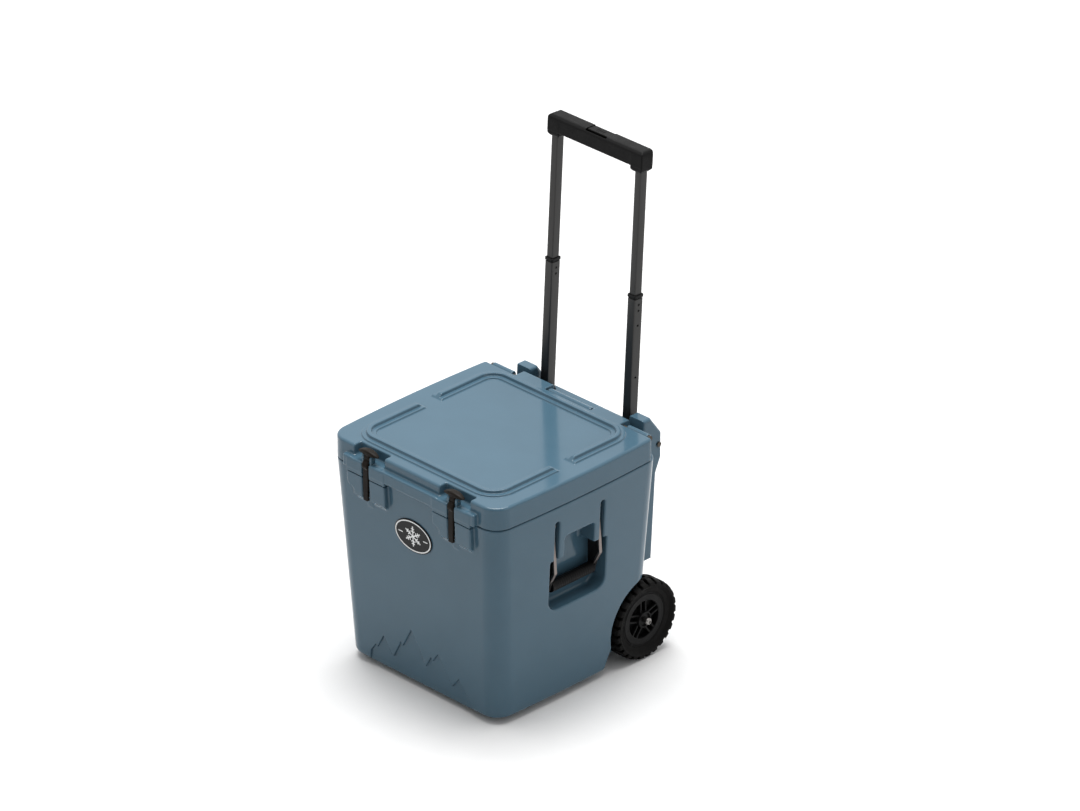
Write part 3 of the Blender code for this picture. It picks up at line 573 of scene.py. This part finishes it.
SIDE_PIVOT = middle("side_pin_right_front")
SPINE = ((SIDE_PIVOT.x, SIDE_PIVOT.z), (0.2305, 0.351), (0.2335, 0.306), (0.213, 0.266))
EYE_R, EYE_HOLE_R = 0.0072, 0.0032
STRIP_HALF, STRIP_DEEP = 0.0026, 0.0038
PLATE_OUTLINE = [(0.2285, 0.345), (0.2305, 0.306), (0.2170, 0.2600)]
PLATE_OUTLINE += [(0.2080, 0.2560), (0.2010, 0.2640), (0.2020, 0.332)]


def arm_edge(x, y, z):
    """The metal strip of one arm, in the tub's frame with Y measured from the arm's middle."""
    line = np.full(x.shape, 1e9)
    for (x1, z1), (x2, z2) in zip(SPINE, SPINE[1:]):
        dx, dz = x2 - x1, z2 - z1
        share = np.clip(((x - x1) * dx + (z - z1) * dz) / (dx**2 + dz**2), 0, 1)
        line = np.minimum(line, np.hypot(x - x1 - share * dx, z - z1 - share * dz))
    body = line - STRIP_HALF
    from_pin = np.hypot(x - SPINE[0][0], z - SPINE[0][1])
    body = slab(either(body, from_pin - EYE_R, 0.004), y, -STRIP_DEEP, STRIP_DEEP, 0.001)
    return without(body, from_pin - EYE_HOLE_R)


def arm_plate(x, y, z):
    """The black plate behind the strip, beside the grip."""
    return slab(polygon(x, z, PLATE_OUTLINE) - 0.001, y, -0.0027, 0.0027, 0.0012)


def side_grip(x, y, z):
    """A round bar with a flared end at each plate, in the frame of its middle with Y along it."""
    reach = ARM_Y - 0.0043
    radius = 0.0118 + 0.0007 * np.exp(-(((np.abs(y) - reach) / 0.004) ** 2))
    ribs = 0.00035 * np.clip(np.cos(y * 2 * math.pi / 0.006), 0, 1) * (np.abs(y) < reach - 0.012)
    return both(np.hypot(x, z) - radius - ribs, np.abs(y) - reach, 0.0015)


# The telescoping handle's grip, in the poles' frame with Z along them.

GRIP_TOP = 1.0857
GRIP_HALF = size_of("pull_grip").x / 2
BUTTON_HALF = 0.028
BAR_DROP, BOSS_DROP = 0.0365, 0.0485  # from the top down to the undersides of the bar and of the end bosses
BAR_Y, BOSS_Y, BOSS_HALF = 0.0165, 0.0163, 0.0165
END_R = 0.010  # of the bar's upper corners
DIAGONAL = math.sqrt(0.5)


def pull_grip(x, y, z):
    depth = GRIP_TOP - z
    body = block(x, y, z, (-GRIP_HALF, -BAR_Y, GRIP_TOP - BAR_DROP), (GRIP_HALF, BAR_Y, GRIP_TOP), 0.0025)
    middle_x, across = POLE_X - 0.0005, np.abs(x)
    low = (middle_x - BOSS_HALF, -BOSS_Y, GRIP_TOP - BOSS_DROP)
    high = (middle_x + BOSS_HALF, BOSS_Y, GRIP_TOP - 0.01)
    boss = block(across, y, z, low, high, 0.0025)
    above = z - GRIP_TOP + BOSS_DROP
    for away in (np.abs(across - middle_x) - BOSS_HALF, np.abs(y) - BOSS_Y):
        boss = both(boss, (away + 0.0050 - above) * DIAGONAL, 0.002)
    end = (across - GRIP_HALF + 0.0070 - above) * DIAGONAL
    body = both(either(body, boss, 0.001), end, 0.002)
    body = both(body, (-y - BAR_Y + z - GRIP_TOP + 0.0065) * DIAGONAL, 0.002)
    corner = np.hypot(np.maximum(across - GRIP_HALF + END_R, 0), np.maximum(z - GRIP_TOP + END_R, 0))
    body = both(body, corner - END_R, 0.001)
    low, high = (-BUTTON_HALF - 0.0008, -0.0135, -0.01), (BUTTON_HALF + 0.0008, 0.03, 0.0120)
    body = without(body, block(x, y, depth, low, high, 0.0012), 0.0008)
    socket = plan(np.abs(x) - POLE_X, y, 0.0088, 0.01005, 0.002)
    body = without(body, both(socket, z - 1.0535), 0.0008)
    channel = block(x, y, depth, (-0.1215, -0.0050, 0.0092), (0.1215, 0.0050, 0.0215), 0.0005)
    return without(body, channel)


def release_button(x, y, z):
    depth = GRIP_TOP - z
    body = block(x, y, depth, (-BUTTON_HALF, -0.0080, 0.0014), (BUTTON_HALF, 0.0152, 0.0076), 0.0012)
    ribs = both(np.abs(np.mod(x, 0.006) - 0.003) - 0.0007, np.abs(x) - 0.0135)
    ribs = both(both(ribs, np.abs(y - 0.003) - 0.006), depth - 0.0022)
    return without(body, ribs, 0.0004)


# The badge, in its own frame: Y points back, and the plate's middle is at the origin. The emblem is a plain
# snowflake.

BADGE_HALF = (0.0530, 0.0366)


def oval(x, z, inset):
    return (np.hypot(x / (BADGE_HALF[0] - inset), z / (BADGE_HALF[1] - inset)) - 1) * (BADGE_HALF[1] - inset)


def badge_plate(x, y, z):
    return slab(oval(x, z, 0.0), y, -0.0026, -0.0003, 0.0008)


def badge_emblem(x, y, z):
    band = both(oval(x, z, 0.0024), -oval(x, z, 0.0050))
    angle, radius = turn_by(x, z, 6, math.radians(30))
    beside, along = np.abs(radius * np.sin(angle)), radius * np.cos(angle)
    flake = both(beside - 0.0014, along - 0.0235)
    for start, length in ((0.0095, 0.0062), (0.0155, 0.0050)):
        turned = (along - start) * 0.5 + beside * 0.866
        off = np.abs((along - start) * 0.866 - beside * 0.5)
        flake = np.minimum(flake, both(off - 0.0012, np.abs(turned - length / 2) - length / 2))
    bars = both(both(np.abs(z) - 0.0011, 0.0290 - np.abs(x)), np.abs(x) - 0.0415)
    shape = np.minimum(np.minimum(band, flake), bars)
    return slab(shape, y, -0.00305, -0.0020, 0.0003)


# The drain, in the frame of its middle on the wall with X outward.


def drain_seat(x, y, z):
    radius = np.hypot(y, z)
    body = both(radius - 0.0198, np.abs(x - 0.0040) - 0.0040, 0.0015)
    body = either(body, both(radius - 0.0140, np.abs(x + 0.02) - 0.0205))
    return without(body, radius - 0.0102, 0.0008)


def drain_cap(x, y, z):
    angle, radius = turn_by(y, z, 12)
    edge = 0.0162 - 0.0008 * (0.5 + 0.5 * np.cos(angle * 12))
    body = both(radius - edge, np.abs(x - 0.0135) - 0.0050, 0.0018)
    body = either(body, both(radius - 0.0097, np.abs(x + 0.004) - 0.0185))
    wing = block(x, y, z, (0.010, -0.0150, -0.0030), (0.0186, 0.0150, 0.0030), 0.0015)
    return either(without(body, both(radius - 0.0125, 0.0170 - x), 0.001), wing, 0.001)


def rubber_foot(x, y, z):
    """In the frame of the middle of its lower face."""
    radius = np.hypot(x, y)
    body = both(radius - 0.0165 - 0.0015 * (1 - z / 0.0117), np.abs(z - 0.00585) - 0.00585, 0.0012)
    return without(body, np.abs(np.hypot(radius - 0.010, z)) - 0.0012, 0.0004)


# Looks.


def add(tree, kind, **values):
    """A new node, with its properties or its inputs set by name."""
    node = tree.nodes.new("ShaderNode" + kind)
    for name, value in values.items():
        if hasattr(node, name):
            setattr(node, name, value)
        else:
            node.inputs[name.replace("_", " ").title()].default_value = value
    return node


def noise(tree, scale, detail=3.0, stretch=(1.0, 1.0, 1.0)):
    """Noise over the piece's own coordinates, in features per metre."""
    place = add(tree, "TexCoord")
    mapping = add(tree, "Mapping")
    mapping.inputs["Scale"].default_value = stretch
    pattern = add(tree, "TexNoise", scale=scale, detail=detail)
    tree.links.new(place.outputs["Object"], mapping.inputs["Vector"])
    tree.links.new(mapping.outputs["Vector"], pattern.inputs["Vector"])
    return pattern.outputs["Fac"]


def between(tree, pattern, low, high):
    """A pattern spread over a range of values."""
    spread = add(tree, "MapRange")
    spread.inputs["From Min"].default_value = 0.3
    spread.inputs["From Max"].default_value = 0.7
    spread.inputs["To Min"].default_value = low
    spread.inputs["To Max"].default_value = high
    tree.links.new(pattern, spread.inputs["Value"])
    return spread.outputs["Result"]


PAINTED_SHADE_STARTS, PAINTED_SHADE_ENDS = 0.455, 0.40  # pointiness where the painted shade in an inner corner starts and is full
# how dark the painted shade in inner corners gets, as a share of the colour
PAINTED_SHADE_TONE = 0.35


def surfaced(
    name,
    colour,
    rough,
    metallic=0.0,
    mottle=0.06,
    grain=(900, 0.00006),
    stretch=(1, 1, 1),
    painted_crease_shade=0.0,
    gloss=0.5,
):
    """A look whose colour drifts by mottle and whose roughness runs over a range.

    grain is (features per metre, height) of its bumps. painted_crease_shade is how far inner corners are
    darkened with painted shade.
    """
    made = bpy.data.materials.new(name)
    made.use_nodes = True
    tree = made.node_tree
    shader = tree.nodes["Principled BSDF"]
    shader.inputs["Metallic"].default_value = metallic
    shader.inputs["Specular IOR Level"].default_value = gloss
    drift = between(tree, noise(tree, 14, 4, stretch), 0.0, 1.0)
    mix = add(tree, "Mix", data_type="RGBA")
    dark, light = ([c * (1 + s * mottle) for c in colour] + [1.0] for s in (-1, 1))
    mix.inputs[6].default_value, mix.inputs[7].default_value = dark, light
    tree.links.new(drift, mix.inputs["Factor"])
    tint = mix.outputs[2]
    # Painted shade: inner corners, picked out by their pointiness, are darkened towards a darker copy of the
    # colour.
    if painted_crease_shade:
        edges = add(tree, "NewGeometry")
        depth = add(tree, "MapRange")
        depth.inputs["From Min"].default_value = PAINTED_SHADE_STARTS
        depth.inputs["From Max"].default_value = PAINTED_SHADE_ENDS
        depth.inputs["To Max"].default_value = painted_crease_shade
        tree.links.new(edges.outputs["Pointiness"], depth.inputs["Value"])
        painted_shade_mix = add(tree, "Mix", data_type="RGBA")
        painted_shade_mix.inputs[7].default_value = [c * PAINTED_SHADE_TONE for c in colour] + [1.0]
        tree.links.new(depth.outputs["Result"], painted_shade_mix.inputs["Factor"])
        tree.links.new(tint, painted_shade_mix.inputs[6])
        tint = painted_shade_mix.outputs[2]
    tree.links.new(tint, shader.inputs["Base Color"])
    tree.links.new(between(tree, noise(tree, 45, 5, stretch), *rough), shader.inputs["Roughness"])
    bump = add(tree, "Bump")
    bump.inputs["Strength"].default_value = 1.0
    bump.inputs["Distance"].default_value = grain[1]
    tree.links.new(noise(tree, grain[0], 2, stretch), bump.inputs["Height"])
    tree.links.new(bump.outputs["Normal"], shader.inputs["Normal"])
    return made


def dark(name, colour, rough, grain, gloss, mottle=0.2):
    """A black plastic or rubber."""
    return surfaced(name, colour, rough, mottle=mottle, grain=grain, gloss=gloss)


def metal(name, colour, rough, grain, stretch=(1, 1, 1), metallic=1.0, mottle=0.06, gloss=0.5):
    return surfaced(name, colour, rough, metallic, mottle, grain, stretch, gloss=gloss)


SLATE_BLUE, NEAR_BLACK = (0.046, 0.093, 0.130), (0.0038, 0.0038, 0.0039)
# The moulded blue darkens its inner corners and grooves with painted shade.
SOFT_GLOSS = {"mottle": 0.03, "grain": (300, 0.00001), "painted_crease_shade": 0.7, "gloss": 0.30}
BLUE = surfaced("moulded_blue", SLATE_BLUE, (0.09, 0.15), **SOFT_GLOSS)
BLACK = dark("black_plastic", (0.0060, 0.0060, 0.0062), (0.36, 0.50), (1500, 0.00010), 0.12)
GRIP = dark("soft_black", NEAR_BLACK, (0.42, 0.56), (2200, 0.00012), 0.10)
RIM = dark("rim_black", NEAR_BLACK, (0.38, 0.50), (1300, 0.00008), 0.10)
TYRE = dark("tyre_black", (0.0050, 0.0048, 0.0046), (0.55, 0.75), (1000, 0.00018), 0.08, mottle=0.25)
RUBBER = dark("latch_rubber", (0.0080, 0.0060, 0.0045), (0.38, 0.52), (1200, 0.00010), 0.08)
STEEL = metal("plated_steel", (0.26, 0.25, 0.24), (0.22, 0.38), (1500, 0.00003), (0.2, 1, 1))
BRUSHED = {"stretch": (1, 1, 0.02), "metallic": 0.9, "mottle": 0.05, "gloss": 0.2}
POLE = metal("pole_grey", (0.046, 0.0455, 0.045), (0.30, 0.40), (2200, 0.00003), **BRUSHED)
ARM = metal("arm_metal", (0.20, 0.175, 0.165), (0.28, 0.42), (1800, 0.00004), (1, 1, 0.1))
SATIN = {"mottle": 0.02, "grain": (1200, 0.00004), "gloss": 0.3}
WHITE = surfaced("badge_white", (0.70, 0.71, 0.71), (0.32, 0.42), **SATIN)
PLATE = dark("badge_plate", (0.0060, 0.0062, 0.0066), (0.30, 0.42), (1200, 0.00006), 0.15)
DARK_STEEL = metal("dark_steel", (0.060, 0.050, 0.040), (0.35, 0.50), (1500, 0.00003), metallic=0.8)
FOAM = surfaced("foam", (0.78, 0.66, 0.42), (0.85, 0.95), mottle=0.10, grain=(500, 0.0003))


def finish(piece, look, body, slot, *nodes):
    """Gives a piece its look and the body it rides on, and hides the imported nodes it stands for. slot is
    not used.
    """
    piece.data.materials.clear()
    piece.data.materials.append(look)
    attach(piece, body)
    if nodes:
        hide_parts(*nodes)
    return piece


MOST_MOULDING = 195_000  # triangles of the tub and of the lid


def box_of(node):
    """A node's box in the tub's frame, a little larger."""
    low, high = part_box(node)
    grow = Vector((0.002, 0.002, 0.002))
    drop = Vector((0, SHIFT, 0))
    return low - drop - grow, high - drop + grow


def make_mouldings():
    made = net("tub_moulding", tub, *box_of("body_shell"), 0.0018, most=MOST_MOULDING)
    finish(made, BLUE, "tub", "moulded_blue", "body_shell")
    made = net("lid_moulding", lid, *box_of("lid_shell"), 0.0014, most=MOST_MOULDING)
    finish(made, BLUE, "lid", "moulded_blue", "lid_shell")
    made = net("housing_moulding", housing, *box_of("handle_housing"), 0.0018)
    finish(made, BLUE, "tub", "moulded_blue", "handle_housing")


SIDES = ((-1, "left"), (1, "right"))


def facing(at_point, side):
    """A frame at a point whose X points outward on that side."""
    return Matrix.Translation(at_point) @ Matrix.Rotation(0.0 if side > 0 else math.pi, 4, "Z")


# Each net below is searched for in a box that holds all of its shape, in the frame of its place.


def make_latches():
    low, high = (-0.032, -0.014, -0.10), (0.032, 0.018, 0.02)
    for _, label in SIDES:
        node = f"latch_{label}"
        place = Matrix.Translation(middle(f"latch_pin_{label}"))
        made = net(f"rubber_latch_{label}", latch, low, high, 0.0009, place, 60_000)
        finish(made, RUBBER, node, "rubber", node)


def make_wheels():
    reach = (WHEEL_HALF + 0.001, WHEEL_R + 0.001, WHEEL_R + 0.001)
    low = tuple(-r for r in reach)
    rim_reach = (WHEEL_HALF, RIM_R + 0.0005, RIM_R + 0.0005)
    bolt_low, bolt_high = (-0.003, -0.009, -0.009), (0.007, 0.009, 0.009)
    for side, label in SIDES:
        place = facing(middle(f"tyre_{label}"), side)
        body = f"wheel_{label}"
        made = net(f"knobbed_tyre_{label}", tyre, low, reach, 0.0014, place)
        finish(made, TYRE, body, "tyre", f"tyre_{label}")
        made = net(f"spoked_rim_{label}", rim, low, rim_reach, 0.0010, place, 120_000)
        finish(made, RIM, body, "rim", f"rim_{label}")
        place = facing(middle(f"axle_screw_{label}"), side)
        made = net(f"axle_bolt_{label}", bolt, bolt_low, bolt_high, 0.0005, place, 20_000)
        finish(made, STEEL, "tub", "steel", f"axle_screw_{label}")


def make_side_handles():
    low, edge_high, plate_high = (0.19, -0.006, 0.25), (0.24, 0.006, 0.425), (0.24, 0.006, 0.35)
    bar_reach = (0.013, 0.061, 0.013)
    bar_low = tuple(-r for r in bar_reach)
    for side, label in SIDES:
        body = f"side_handle_{label}"
        for y, where in ((-ARM_Y, "front"), (ARM_Y, "back")):
            place = facing((0, y + SHIFT, 0), side)
            made = net(f"arm_edge_{label}_{where}", arm_edge, low, edge_high, 0.0009, place, 30_000)
            finish(made, ARM, body, "handle_arm", f"side_arm_{label}_{where}")
            made = net(f"arm_plate_{label}_{where}", arm_plate, low, plate_high, 0.0009, place, 20_000)
            finish(made, BLACK, body, "black_plastic")
        place = Matrix.Translation(middle(f"side_grip_{label}"))
        made = net(f"grip_bar_{label}", side_grip, bar_low, bar_reach, 0.0010, place, 40_000)
        finish(made, GRIP, body, "grip", f"side_grip_{label}")


def make_grip():
    low, high = (-0.134, -0.018, 1.038), (0.134, 0.018, 1.088)
    made = net("grip_moulding", pull_grip, low, high, 0.0010, POLE_FRAME, 120_000)
    finish(made, GRIP, "upper_stage", "grip", "pull_grip")
    low, high = (-0.031, -0.015, 1.075), (0.031, 0.018, 1.088)
    made = net("thumb_button", release_button, low, high, 0.0008, POLE_FRAME, 30_000)
    finish(made, GRIP, "release", "black_plastic", "release_button")


BADGE_PLACE = Matrix.Translation(middle("badge")) @ Matrix.Rotation(math.atan(DRAFT), 4, "X")
BADGE_PLACE = BADGE_PLACE @ Matrix.Translation((0, 0.00165, 0))


def make_badge():
    low, high = (-0.055, -0.004, -0.039), (0.055, 0.001, 0.039)
    made = net("badge_oval", badge_plate, low, high, 0.0009, BADGE_PLACE, 40_000)
    finish(made, PLATE, "tub", "badge", "badge")
    made = net("badge_emblem", badge_emblem, low, high, 0.0005, BADGE_PLACE, 60_000)
    finish(made, WHITE, "tub", "badge")


def make_small_fittings():
    drain = Matrix.Translation((DRAIN_WALL_X, DRAIN.y, DRAIN.z)) @ Matrix.Rotation(math.pi, 4, "Z")
    low, high = (-0.042, -0.021, -0.021), (0.010, 0.021, 0.021)
    made = net("drain_seat", drain_seat, low, high, 0.0009, drain, 30_000)
    finish(made, BLACK, "tub", "black_plastic", "drain_fitting")
    low, high = (-0.024, -0.018, -0.018), (0.020, 0.018, 0.018)
    made = net("drain_cap", drain_cap, low, high, 0.0008, drain, 30_000)
    finish(made, BLACK, "drain_plug", "black_plastic", "drain_plug")
    low, high = (-0.019, -0.019, -0.001), (0.019, 0.019, 0.013)
    for _, label in SIDES:
        foot_low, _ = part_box(f"foot_{label}")
        centre = middle(f"foot_{label}")
        place = Matrix.Translation((centre.x, centre.y, foot_low.z))
        made = net(f"rubber_foot_{label}", rubber_foot, low, high, 0.0009, place, 20_000)
        finish(made, TYRE, "tub", "rubber", f"foot_{label}")


# Tubes and collars are drawn as outlines and swept along the poles.


def rounded(half_x, half_y, radius, steps=6):
    """A rounded rectangle's outline."""
    points = []
    for n, (sx, sy) in enumerate(((1, 1), (-1, 1), (-1, -1), (1, -1))):
        for k in range(steps + 1):
            angle = math.pi / 2 * (n + k / steps)
            centre = sx * (half_x - radius), sy * (half_y - radius)
            points.append((centre[0] + radius * math.cos(angle), centre[1] + radius * math.sin(angle)))
    return points


def sleeve(name, x, half, radius, wall, ends, edge=0.0006):
    """A tube with rounded corners and softened ends, from a closed run of outlines."""
    low, high = ends
    outer, inner = (half[0], half[1], radius), (half[0] - wall, half[1] - wall, max(radius - wall, 0.0008))
    steps = [(outer, edge, low), (outer, 0, low + edge), (outer, 0, high - edge), (outer, edge, high)]
    steps += [(inner, -edge, high), (inner, 0, high - edge), (inner, 0, low + edge), (inner, -edge, low)]
    shape = bmesh.new()
    rings = []
    for (half_x, half_y, r), inset, z in steps:
        outline = rounded(half_x - inset, half_y - inset, r - inset)
        rings.append([shape.verts.new((x + a, b, z)) for a, b in outline])
    count = len(rings[0])
    for n, ring in enumerate(rings):
        after = rings[(n + 1) % len(rings)]
        for k in range(count):
            shape.faces.new((ring[k], ring[(k + 1) % count], after[(k + 1) % count], after[k]))
    bmesh.ops.recalc_face_normals(shape, faces=shape.faces)
    shape.transform(POLE_FRAME)
    mesh = bpy.data.meshes.new(name)
    shape.to_mesh(mesh)
    shape.free()
    made = bpy.data.objects.new(name, mesh)
    bpy.context.scene.collection.objects.link(made)
    return made


def drill(piece, x, along, radius):
    """A round hole through the tube's +X wall."""
    shape = bmesh.new()
    place = POLE_FRAME @ (Matrix.Translation((x, 0, along)) @ Matrix.Rotation(math.pi / 2, 4, "Y"))
    size = {"radius1": radius, "radius2": radius, "depth": 0.006}
    bmesh.ops.create_cone(shape, cap_ends=True, segments=20, matrix=place, **size)
    mesh = bpy.data.meshes.new("drill")
    shape.to_mesh(mesh)
    shape.free()
    bit = bpy.data.objects.new("drill", mesh)
    bpy.context.scene.collection.objects.link(bit)
    hole = piece.modifiers.new("hole", "BOOLEAN")
    hole.operation, hole.solver, hole.object = "DIFFERENCE", "EXACT", bit
    settle_modifiers(piece)
    bpy.data.objects.remove(bit)


def smooth(piece, angle=35):
    piece.data.shade_smooth()
    piece.data.set_sharp_from_angle(angle=math.radians(angle))
    return piece


def along_poles(node, depth):
    """Where a node's ends are, along the poles. depth is its size across, front to back."""
    low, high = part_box(node)
    reach = depth / 2 * math.sin(POLE_LEAN)
    return (low.z + reach) / math.cos(POLE_LEAN), (high.z - reach) / math.cos(POLE_LEAN)


# The outsides of the tubes, the collars and the fixed sleeves, across and front to back
LOWER, UPPER, OUTER = (0.0210, 0.0240), (0.0170, 0.0195), (0.0240, 0.0274)
COLLAR, COLLAR_BOX_DEPTH = (0.0230, 0.0260), 0.0275
HOLES = {"left": (0.010, 0.023), "right": (0.010, 0.023, 0.056, 0.172)}  # below the lower tube's top
HOLE_R = 0.0025


def halved(size):
    return size[0] / 2, size[1] / 2


def make_poles():
    for side, label in SIDES:
        x = side * POLE_X
        ends = along_poles(f"lower_tube_{label}", LOWER[1])
        made = sleeve(f"lower_pole_{label}", x, halved(LOWER), 0.0028, 0.0015, (ends[0], ends[1] + 0.003))
        for drop in HOLES[label]:
            drill(made, x + LOWER[0] / 2, ends[1] - drop, HOLE_R)
        finish(smooth(made), POLE, "lower_stage", "pole_grey", f"lower_tube_{label}")
        ends = along_poles(f"upper_tube_{label}", UPPER[1])
        made = sleeve(f"upper_pole_{label}", x, halved(UPPER), 0.0022, 0.0015, ends)
        finish(smooth(made), POLE, "upper_stage", "pole_grey", f"upper_tube_{label}")
        ends = along_poles(f"collar_{label}", COLLAR_BOX_DEPTH)
        ends = ends[0] + 0.0045, ends[1] - 0.002
        made = sleeve(f"pole_collar_{label}", x, halved(COLLAR), 0.0034, 0.0026, ends, 0.0010)
        finish(smooth(made), BLACK, "lower_stage", "black_plastic", f"collar_{label}")
        ends = along_poles(f"sleeve_{label}", OUTER[1])
        made = sleeve(f"outer_sleeve_{label}", x, halved(OUTER), 0.0040, 0.0011, ends)
        finish(smooth(made), POLE, "tub", "pole_grey", f"sleeve_{label}")


CARRIED = (
    (("side_pin", "axle", "latch_pin", "release_linkage"), STEEL),
    (("hinge_rod", "housing_screw"), DARK_STEEL),
    (("body_foam", "lid_foam"), FOAM),
    (("lid_gasket",), RUBBER),
    (("foam_plug", "lid_foam_plug", "axle_block", "lower_glide", "upper_glide"), BLACK),
)


def dress_carried_nodes():
    """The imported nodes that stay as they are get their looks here."""
    for node, thing in frame["nodes"].items():
        for starts, look in CARRIED:
            if node.startswith(starts):
                thing.data.materials.clear()
                thing.data.materials.append(look)


make_mouldings()
make_latches()
make_wheels()
make_side_handles()
make_grip()
make_badge()
make_small_fittings()
make_poles()
dress_carried_nodes()


# The camera, the floor and the light.

AZIMUTH, ELEVATION = math.radians(45), math.radians(28)
LENS, SENSOR = 250.0, 36.0  # millimetres
VIEW_WIDTH, VIEW_TARGET = 2.1643, Vector((0.0651, 0.0299, 0.5759))  # the picture's width and middle


def make_camera():
    data = bpy.data.cameras.new("camera")
    camera = bpy.data.objects.new("camera", data)
    bpy.context.scene.collection.objects.link(camera)
    data.type = "PERSP"
    data.lens, data.sensor_width = LENS, SENSOR
    level = math.cos(ELEVATION)
    back = Vector((math.sin(AZIMUTH) * level, -math.cos(AZIMUTH) * level, math.sin(ELEVATION)))
    camera.location = VIEW_TARGET + back * (data.lens * VIEW_WIDTH / data.sensor_width)
    camera.rotation_mode = "QUATERNION"
    camera.rotation_quaternion = (-back).to_track_quat("-Z", "Y")
    bpy.context.scene.camera = camera


make_camera()


FLOOR_TONE, FLOOR_HALF = 0.63, 40.0
TOP_LIGHT, RIGHT_LIGHT = 520.0, 25.0  # watts
AIM = Vector((0, 0, 0.3))


def softbox(name, place, size, power):
    """A square lamp that faces the middle of the cooler."""
    data = bpy.data.lights.new(name, "AREA")
    data.shape, data.size, data.energy = "SQUARE", size, power
    lamp = bpy.data.objects.new(name, data)
    bpy.context.scene.collection.objects.link(lamp)
    lamp.location = place
    lamp.rotation_mode = "QUATERNION"
    lamp.rotation_quaternion = (AIM - Vector(place)).to_track_quat("-Z", "Y")


def make_stage():
    shape = bmesh.new()
    bmesh.ops.create_grid(shape, x_segments=2, y_segments=2, size=FLOOR_HALF)
    mesh = bpy.data.meshes.new("floor")
    shape.to_mesh(mesh)
    shape.free()
    floor = bpy.data.objects.new("floor", mesh)
    bpy.context.scene.collection.objects.link(floor)
    look = surfaced("floor", (FLOOR_TONE,) * 3, (0.85, 0.95), mottle=0.01, grain=(60, 0.0002), gloss=0.1)
    mesh.materials.append(look)
    softbox("top", (-0.6, 0.6, 6.0), 4.0, TOP_LIGHT)
    softbox("right", (5.0, 0.5, 2.0), 2.5, RIGHT_LIGHT)
    make_sky()


SKY_BACK, SKY_FRONT = 1.2, 0.3  # brightness behind the cooler and in front of its right corner


def make_sky():
    world = bpy.data.worlds.new("world")
    bpy.context.scene.world = world
    world.use_nodes = True
    tree = world.node_tree
    place = add(tree, "TexCoord")
    frontness = add(tree, "VectorMath", operation="DOT_PRODUCT")
    frontness.inputs[1].default_value = (DIAGONAL, -DIAGONAL, 0.0)
    spread = add(tree, "MapRange")
    spread.inputs["From Min"].default_value = -0.3
    spread.inputs["From Max"].default_value = 0.9
    spread.inputs["To Min"].default_value = SKY_BACK
    spread.inputs["To Max"].default_value = SKY_FRONT
    tree.links.new(place.outputs["Generated"], frontness.inputs[0])
    tree.links.new(frontness.outputs["Value"], spread.inputs["Value"])
    sky = tree.nodes["Background"]
    sky.inputs["Color"].default_value = (1.0, 1.0, 1.0, 1.0)
    tree.links.new(spread.outputs["Result"], sky.inputs["Strength"])
    bpy.context.scene.view_settings.view_transform = "Standard"


make_stage()
